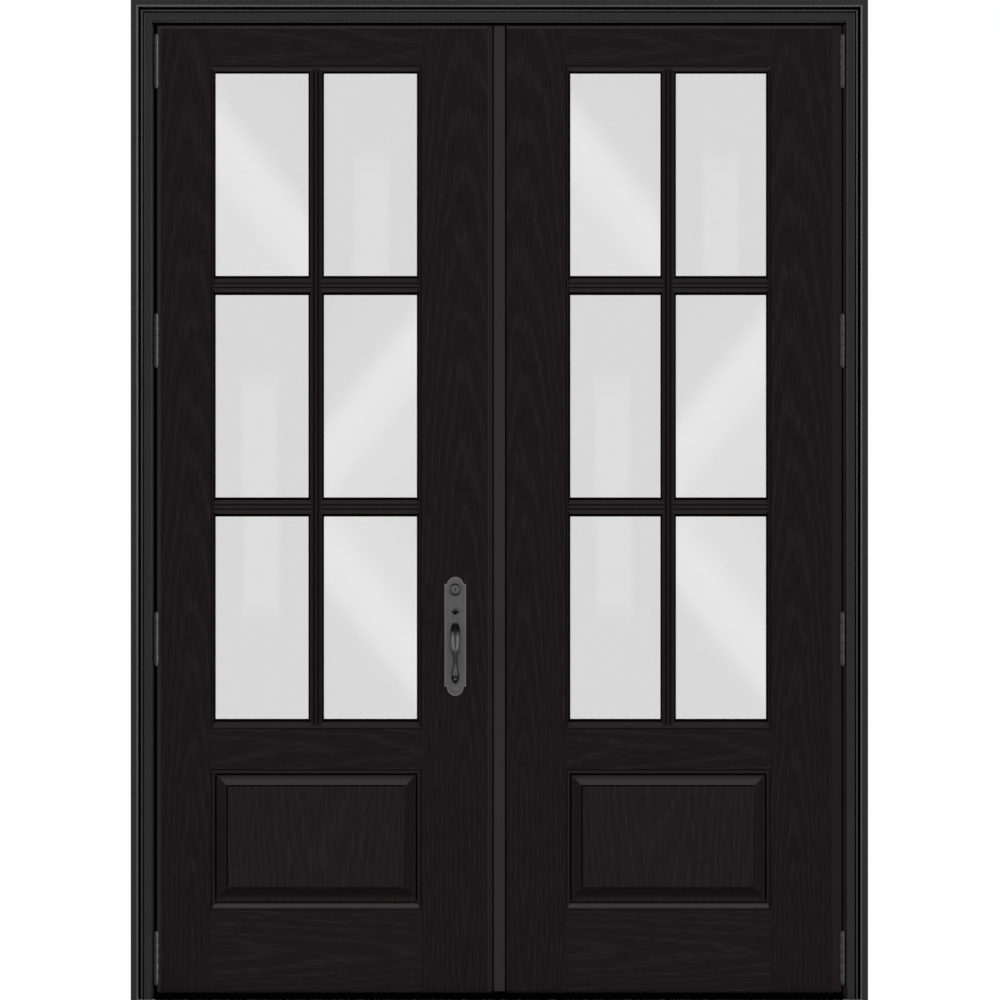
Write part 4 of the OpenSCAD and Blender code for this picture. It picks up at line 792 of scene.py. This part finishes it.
cylinderTones = {
    "place": (-0.1105, 1.028),
    # painted highlights and painted shade outwards from the axis: bright faces and a dark ring
    "outwards": ((0.0, 86), (0.0056, 90), (0.0066, 70), (0.0074, 84), (0.0112, 92), (0.0122, 50), (0.0130, 18),
                 (0.0148, 14), (0.0156, 30)),
    "sides": tone(76, 75, 76),      # the dark ring is lighter at its sides
    "sidesReach": (0.0075, 0.0120, 0, 0.8),
    # painted shade: the keyhole is black
    "keyhole": tone(6, 6, 6),
    "keyholeWidth": (0.00169, 0.00091),
    "keyholeHeight": (0.00528, 0.00432),
    "roughness": 0.4,
    "plugRoughness": 0.38,
}


def cylinderColour(tree):
    colour = greys(tree, radiusFrom(tree, cylinderTones["place"]), cylinderTones["outwards"])
    aside = distance(tree, placeOf(tree)["X"], cylinderTones["place"][0])
    return mixed(tree, byRange(tree, aside, *cylinderTones["sidesReach"]), colour, cylinderTones["sides"])


def plugColour(tree):
    place = placeOf(tree)
    x, z = cylinderTones["place"]
    across = byRange(tree, distance(tree, place["X"], x), *cylinderTones["keyholeWidth"])
    along = byRange(tree, distance(tree, place["Z"], z), *cylinderTones["keyholeHeight"])
    return mixed(tree, multiplied(tree, across, along), cylinderColour(tree), cylinderTones["keyhole"])


cylinderPaintedLight = pewterLightShadeFinish("cylinderPaintedLight", cylinderColour, cylinderTones["roughness"])
dress(cylinderPaintedLight, "lock_cylinder")
dress(pewterLightShadeFinish("plugPaintedLight", plugColour, cylinderTones["plugRoughness"]), "cylinder_plug")
print("frame, metal and seals finished")


glassLook = {
    "dim": (0.812, 0.812, 0.812, 1.0),
    "bright": (0.885, 0.885, 0.885, 1.0),
    "ior": 1.45,
    "rows": (1.236, 1.790),         # heights of the level bars
    "columns": {"active": (-0.596, -0.461, -0.325), "passive": (0.288, 0.418, 0.550)},   # lite, bar, lite
    "liteHeights": (0.958, 1.512, 2.067),
    # the painted reflection in each lite from the lowest up, in the first column and the second: its shift from the
    # lite's middle, then a patch's half width and height, or a band's slant and the shares under and over it
    "sheens": (
        (("patch", 0.0, 0.16, 0.038, 0.13),
         ("patch", -0.005, -0.13, 0.038, 0.15),
         ("band", 0.0, -0.05, 51.0, 0.55, 0.2)),
        (("band", 0.0, 0.03, 51.0, 0.25, 0.55),
         ("band", 0.0, -0.03, -51.0, 0.5, 0.2),
         ("patch", 0.005, -0.13, 0.038, 0.15)),
    ),
    "bandReach": 0.28,
    "patchBlur": (1.5, 0.8),
    "patchShares": (0.12, 0.46),
}


def bandSheen(tree, place, slant, under, over):
    # a painted reflection: a soft bright band across a lite, with its own tone on either side
    turned = spread(tree, objectCoords(tree), (1, 1, 1), place, (0, math.radians(slant), 0))
    across = byRange(tree, splitUp(tree, turned)["Z"], -glassLook["bandReach"], glassLook["bandReach"])
    ramp = addNode(tree, "ShaderNodeValToRGB")
    ramp.color_ramp.interpolation = "EASE"
    stops = ramp.color_ramp.elements
    stops[0].color = (under * 0.6,) * 3 + (1.0,)
    stops[1].color = (over * 0.3,) * 3 + (1.0,)
    for position, value in ((0.34, under), (0.46, 0.95), (0.54, 1.0), (0.68, over)):
        stops.new(position).color = (value, value, value, 1.0)
    tree.links.new(across, ramp.inputs["Fac"])
    return ramp.outputs["Color"]


def patchSheen(tree, place, halfWidth, halfHeight):
    # a painted reflection: a soft upright patch, as of a window opposite
    centred = splitUp(tree, spread(tree, objectCoords(tree), (halfWidth, 1, halfHeight), place))
    reach = greater(tree, absolute(tree, centred["X"]), absolute(tree, centred["Z"]))
    start, end = glassLook["patchBlur"]
    low, high = glassLook["patchShares"]
    patch = addNode(tree, "ShaderNodeMapRange", interpolation_type="SMOOTHSTEP",
                    **{"From Min": start, "From Max": end, "To Min": low, "To Max": high})
    tree.links.new(reach, patch.inputs["Value"])
    return patch.outputs["Result"]


def pickSheen(tree, place, limit, below, above):
    test = addNode(tree, "ShaderNodeMath", operation="GREATER_THAN")
    test.inputs[1].default_value = limit
    tree.links.new(place, test.inputs[0])
    mix = addNode(tree, "ShaderNodeMix", data_type="FLOAT")
    tree.links.new(test.outputs[0], mix.inputs[0])
    tree.links.new(below, mix.inputs[2])
    tree.links.new(above, mix.inputs[3])
    return mix.outputs[0]


def glassFinish(side):
    # clear panes with a painted reflection in each lite
    finish, tree, surface = newFinish(side + "PaneGlass")
    place = placeOf(tree)
    left, bar, right = glassLook["columns"][side]
    columns = []
    for centre, sheens in zip((left, right), glassLook["sheens"]):
        lites = []
        for height, (kind, aside, up, *values) in zip(glassLook["liteHeights"], sheens):
            makeSheen = bandSheen if kind == "band" else patchSheen
            lites.append(makeSheen(tree, (centre + aside, 0, height + up), *values))
        lower = pickSheen(tree, place["Z"], glassLook["rows"][0], lites[0], lites[1])
        columns.append(pickSheen(tree, place["Z"], glassLook["rows"][1], lower, lites[2]))
    sheen = pickSheen(tree, place["X"], bar, *columns)
    tree.links.new(twoTones(tree, sheen, glassLook["dim"], glassLook["bright"]), surface.inputs["Base Color"])
    surface.inputs["Transmission Weight"].default_value = 1.0
    surface.inputs["Roughness"].default_value = 0.0
    surface.inputs["IOR"].default_value = glassLook["ior"]
    return finish


for side in ("active", "passive"):
    dress(glassFinish(side), side + "_glass_panes")
print("panes glazed")


softEdges = {
    "left_casing": 0.0018, "right_casing": 0.0018, "head_casing": 0.0018, "astragal": 0.0008, "sill": 0.001,
    "active_hinge_stile": 0.0012, "active_lock_stile": 0.0012,
    "passive_hinge_stile": 0.0012, "passive_meeting_stile": 0.0012,
    "active_top_rail": 0.0006, "passive_top_rail": 0.0006,
    "frame_hinge_plates": 0.0003, "active_hinge_plates": 0.0003, "passive_hinge_plates": 0.0003,
    "outside_plate": 0.0008, "inside_plate": 0.0008,
}
edgeRules = {
    "joinWithin": 0.00001,
    "nodeAngle": 40,        # sharper edges than this are softened
    "turnedAngle": 35,
    "turnedWidth": 0.0003,
}


def addBevel(piece, name, width, angle):
    bevel = piece.modifiers.new(name, "BEVEL")
    bevel.width = width
    bevel.segments = 2
    bevel.limit_method = "ANGLE"
    bevel.angle_limit = math.radians(angle)
    bevel.profile = 0.5
    return bevel


for name, width in softEdges.items():
    weld = nodes[name].modifiers.new("joinTriangles", "WELD")
    weld.merge_threshold = edgeRules["joinWithin"]
    addBevel(nodes[name], "softArris", width, edgeRules["nodeAngle"]).harden_normals = True
print("arrises softened")


def keepPiece(name, shape, finish, body, slot, smooth=True, *replaced):
    # a bmesh becomes a piece that rides its body
    mesh = bpy.data.meshes.new(name)
    shape.to_mesh(mesh)
    shape.free()
    if smooth:
        mesh.shade_smooth()
    piece = bpy.data.objects.new(name, mesh)
    bpy.context.scene.collection.objects.link(piece)
    mesh.materials.append(finish)
    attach(piece, body)
    if replaced:
        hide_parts(*replaced)
    return piece


def turnProfile(points, centre, steps=64):
    # spins points of radius and depth round a line along Y
    shape = bmesh.new()
    ring = [shape.verts.new((centre[0] + r, y, centre[1])) for r, y in points]
    edges = [shape.edges.new(pair) for pair in zip(ring, ring[1:])]
    if points[0][0] > 0 and points[-1][0] > 0:
        edges.append(shape.edges.new((ring[-1], ring[0])))
    bmesh.ops.spin(shape, geom=ring + edges, cent=(centre[0], 0, centre[1]), axis=(0, 1, 0), angle=2 * math.pi,
                   steps=steps, use_merge=True)
    bmesh.ops.remove_doubles(shape, verts=shape.verts, dist=0.000001)
    bmesh.ops.recalc_face_normals(shape, faces=shape.faces)
    return shape


gripLook = {
    "place": (-0.1105, 0.8695),     # across, and the height of its middle
    "plateFace": -0.004,
    "height": 0.144,
    "bow": 0.044,
    "thick": 0.005,
    # half widths, from the top end to the foot
    "widths": ((0.0, 0.0070), (0.03, 0.0098), (0.08, 0.0114), (0.14, 0.012), (0.36, 0.0116), (0.46, 0.0094),
               (0.54, 0.0066), (0.62, 0.005), (0.72, 0.0055), (0.86, 0.0092), (0.92, 0.0098), (0.97, 0.0084),
               (1.0, 0.0050)),
    "valley": 0.0034,               # depth of the valley down the upper part
    "valleyEnd": 0.47,
    "valleyFade": 0.15,
    "valleyWidth": 0.42,
    "rings": 44,
    "sides": 32,
}


def gripShare(turn):
    # 0 at the top end of the bow and 1 at its foot
    return 0.5 - math.sin(turn) / 2


def gripWidth(share):
    for (a, wa), (b, wb) in zip(gripLook["widths"], gripLook["widths"][1:]):
        if share <= b:
            return wa + (wb - wa) * (share - a) / (b - a)
    return gripLook["widths"][-1][1]


def gripRing(turn):
    half = gripLook["height"] / 2
    out = Vector((0, -half * math.cos(turn), gripLook["bow"] * math.sin(turn))).normalized()
    across = Vector((gripWidth(gripShare(turn)), 0, 0))
    ring = Matrix((across, out * gripLook["thick"], across.normalized().cross(out))).transposed().to_4x4()
    ring.translation = (gripLook["place"][0], gripLook["plateFace"] - gripLook["bow"] * math.cos(turn),
                        gripLook["place"][1] + half * math.sin(turn))
    return ring, out


def makeGrip():
    shape = bmesh.new()
    turns = [math.radians(90 - 180 * i / gripLook["rings"]) for i in range(gripLook["rings"] + 1)]
    bmesh.ops.create_circle(shape, segments=gripLook["sides"], radius=1.0)
    rings = [list(shape.verts)]
    bmesh.ops.transform(shape, matrix=gripRing(turns[0])[0], verts=rings[0])
    edges = list(shape.edges)
    for before, turn in zip(turns, turns[1:]):
        grown = bmesh.ops.extrude_edge_only(shape, edges=edges)["geom"]
        rings.append([g for g in grown if isinstance(g, bmesh.types.BMVert)])
        edges = [g for g in grown if isinstance(g, bmesh.types.BMEdge)
                 and all(v in rings[-1] for v in g.verts)]
        bmesh.ops.transform(shape, matrix=gripRing(turn)[0] @ gripRing(before)[0].inverted(), verts=rings[-1])
    # a valley between two ribs on the outside of the upper part
    for turn, ring in zip(turns, rings):
        matrix, out = gripRing(turn)
        blend = max(0.0, min(1.0, (gripLook["valleyEnd"] - gripShare(turn)) / gripLook["valleyFade"]))
        for vert in ring:
            local = matrix.inverted() @ vert.co
            if local.y > 0:
                hollow = max(0.0, 1 - (local.x / gripLook["valleyWidth"]) ** 2)
                vert.co -= out * gripLook["valley"] * blend * hollow
    bmesh.ops.holes_fill(shape, edges=shape.edges, sides=0)
    bmesh.ops.recalc_face_normals(shape, faces=shape.faces)
    piece = keepPiece("pullGripCast", shape, gripPaintedLight, "active_leaf", "pewter", True, "pull_grip")
    rounding = piece.modifiers.new("rounding", "SUBSURF")
    rounding.levels = rounding.render_levels = 1


cylinderLook = {
    "place": (-0.1105, 1.028),
    "profile": ((0.0155, -0.004), (0.0155, -0.0066), (0.0146, -0.0082), (0.0124, -0.0088), (0.0118, -0.0070),
                (0.0106, -0.0070), (0.0100, -0.0094), (0.0090, -0.0108), (0.0072, -0.0110), (0.0068, -0.0104),
                (0.0068, 0.0200), (0.0130, 0.0200), (0.0130, -0.0039)),
}


def makeCylinder():
    shape = turnProfile(cylinderLook["profile"], cylinderLook["place"])
    piece = keepPiece("lockCylinderTurned", shape, cylinderPaintedLight, "active_leaf", "pewter", True, "lock_cylinder")
    addBevel(piece, "softEdges", edgeRules["turnedWidth"], edgeRules["turnedAngle"])


knobLook = {
    "place": (-0.1105, 0.9685),
    "plateFace": 0.0487,
    "profile": ((0.0, 0.0), (0.0170, 0.0), (0.0170, 0.0012), (0.0158, 0.0026), (0.0130, 0.0032), (0.0112, 0.0052),
                (0.0098, 0.0100), (0.0096, 0.0165), (0.0108, 0.0215), (0.0150, 0.0248), (0.0205, 0.0266),
                (0.0245, 0.0296), (0.0266, 0.0340), (0.0270, 0.0390), (0.0262, 0.0440), (0.0236, 0.0485),
                (0.0190, 0.0512), (0.0180, 0.0506), (0.0168, 0.0514), (0.0100, 0.0532), (0.0, 0.0538)),
}


def makeKnob():
    shape = turnProfile([(r, knobLook["plateFace"] + y) for r, y in knobLook["profile"]], knobLook["place"])
    piece = keepPiece("insideKnobTurned", shape, pewterFinish, "knob", "pewter", True, "inside_knob")
    addBevel(piece, "softEdges", edgeRules["turnedWidth"], edgeRules["turnedAngle"])


turnLook = {
    "place": (-0.1105, 1.028),
    "plateFace": 0.0487,
    "base": ((0.0, 0.0), (0.0140, 0.0), (0.0140, 0.0030), (0.0128, 0.0044), (0.0090, 0.0050), (0.0, 0.0052)),
    "wingLength": 0.034,
    "wingThick": 0.007,
    "wingFoot": 0.005,
    "wingOut": 0.017,
    "wingSteps": 56,
    "sunkTo": 0.004,        # the wing is cut off inside the base
    "edge": 0.0016,
}


def makeThumbturn():
    x, z = turnLook["place"]
    face = turnLook["plateFace"]
    base = turnProfile([(r, face + y) for r, y in turnLook["base"]], turnLook["place"])
    wing = bmesh.new()
    bmesh.ops.create_circle(wing, segments=turnLook["wingSteps"], radius=turnLook["wingLength"] / 2, cap_ends=True)
    raised = bmesh.ops.extrude_face_region(wing, geom=wing.faces[:])["geom"]
    bmesh.ops.translate(wing, vec=(0, 0, turnLook["wingThick"]),
                        verts=[g for g in raised if isinstance(g, bmesh.types.BMVert)])
    bmesh.ops.recalc_face_normals(wing, faces=wing.faces)
    rims = [e for e in wing.edges if abs(e.calc_face_angle(0)) > 1]
    bmesh.ops.bevel(wing, geom=rims, offset=turnLook["edge"], affect="EDGES", segments=3, profile=0.5, material=-1)
    # stands the disc upright on the base, its outer edge at the wing's reach
    centre = (x - turnLook["wingThick"] / 2,
              face + turnLook["wingFoot"] + turnLook["wingOut"] - turnLook["wingLength"] / 2, z)
    upright = Matrix.Translation(centre) @ Matrix.Rotation(math.radians(90), 4, "Y")
    bmesh.ops.transform(wing, matrix=upright, verts=wing.verts)
    bmesh.ops.bisect_plane(wing, geom=wing.verts[:] + wing.edges[:] + wing.faces[:],
                           plane_co=(0, face + turnLook["sunkTo"], 0), plane_no=(0, -1, 0), clear_outer=True)
    bmesh.ops.holes_fill(wing, edges=wing.edges, sides=0)
    bmesh.ops.recalc_face_normals(wing, faces=wing.faces)
    part = bpy.data.meshes.new("wing")
    wing.to_mesh(part)
    wing.free()
    base.from_mesh(part)
    bpy.data.meshes.remove(part)
    keepPiece("thumbturnCast", base, pewterFinish, "turn", "pewter", True, "thumbturn")


makeGrip()
makeCylinder()
makeKnob()
makeThumbturn()
print("handleset pieces made")


sealLip = {
    "from": -0.0205,        # laps behind the active leaf's edge
    "to": -0.0125,
    "inner": 0.0449,        # just clear of that leaf's inner face
    "thick": 0.0014,
    "bottom": 0.030,
    "top": 2.436,
    "edge": 0.0006,
}


def makeSealLip():
    # soft lip on the strip that closes the daylight gap between the leaves
    shape = bmesh.new()
    bmesh.ops.create_cube(shape, size=1.0)
    low = Vector((sealLip["from"], sealLip["inner"], sealLip["bottom"]))
    high = Vector((sealLip["to"], sealLip["inner"] + sealLip["thick"], sealLip["top"]))
    centre = (low + high) / 2
    bmesh.ops.scale(shape, vec=high - low, verts=shape.verts)
    bmesh.ops.translate(shape, vec=centre, verts=shape.verts)
    # the long edges at the free side are rounded
    tip = [e for e in shape.edges if abs((e.verts[0].co - e.verts[1].co).z) > 1 and e.verts[0].co.x < centre.x]
    bmesh.ops.bevel(shape, geom=tip, offset=sealLip["edge"], affect="EDGES", segments=3, profile=0.5, material=-1)
    keepPiece("meetingSealLip", shape, sealRubber, "passive_leaf", "seal_rubber", False)


makeSealLip()
print("meeting seal lip made")
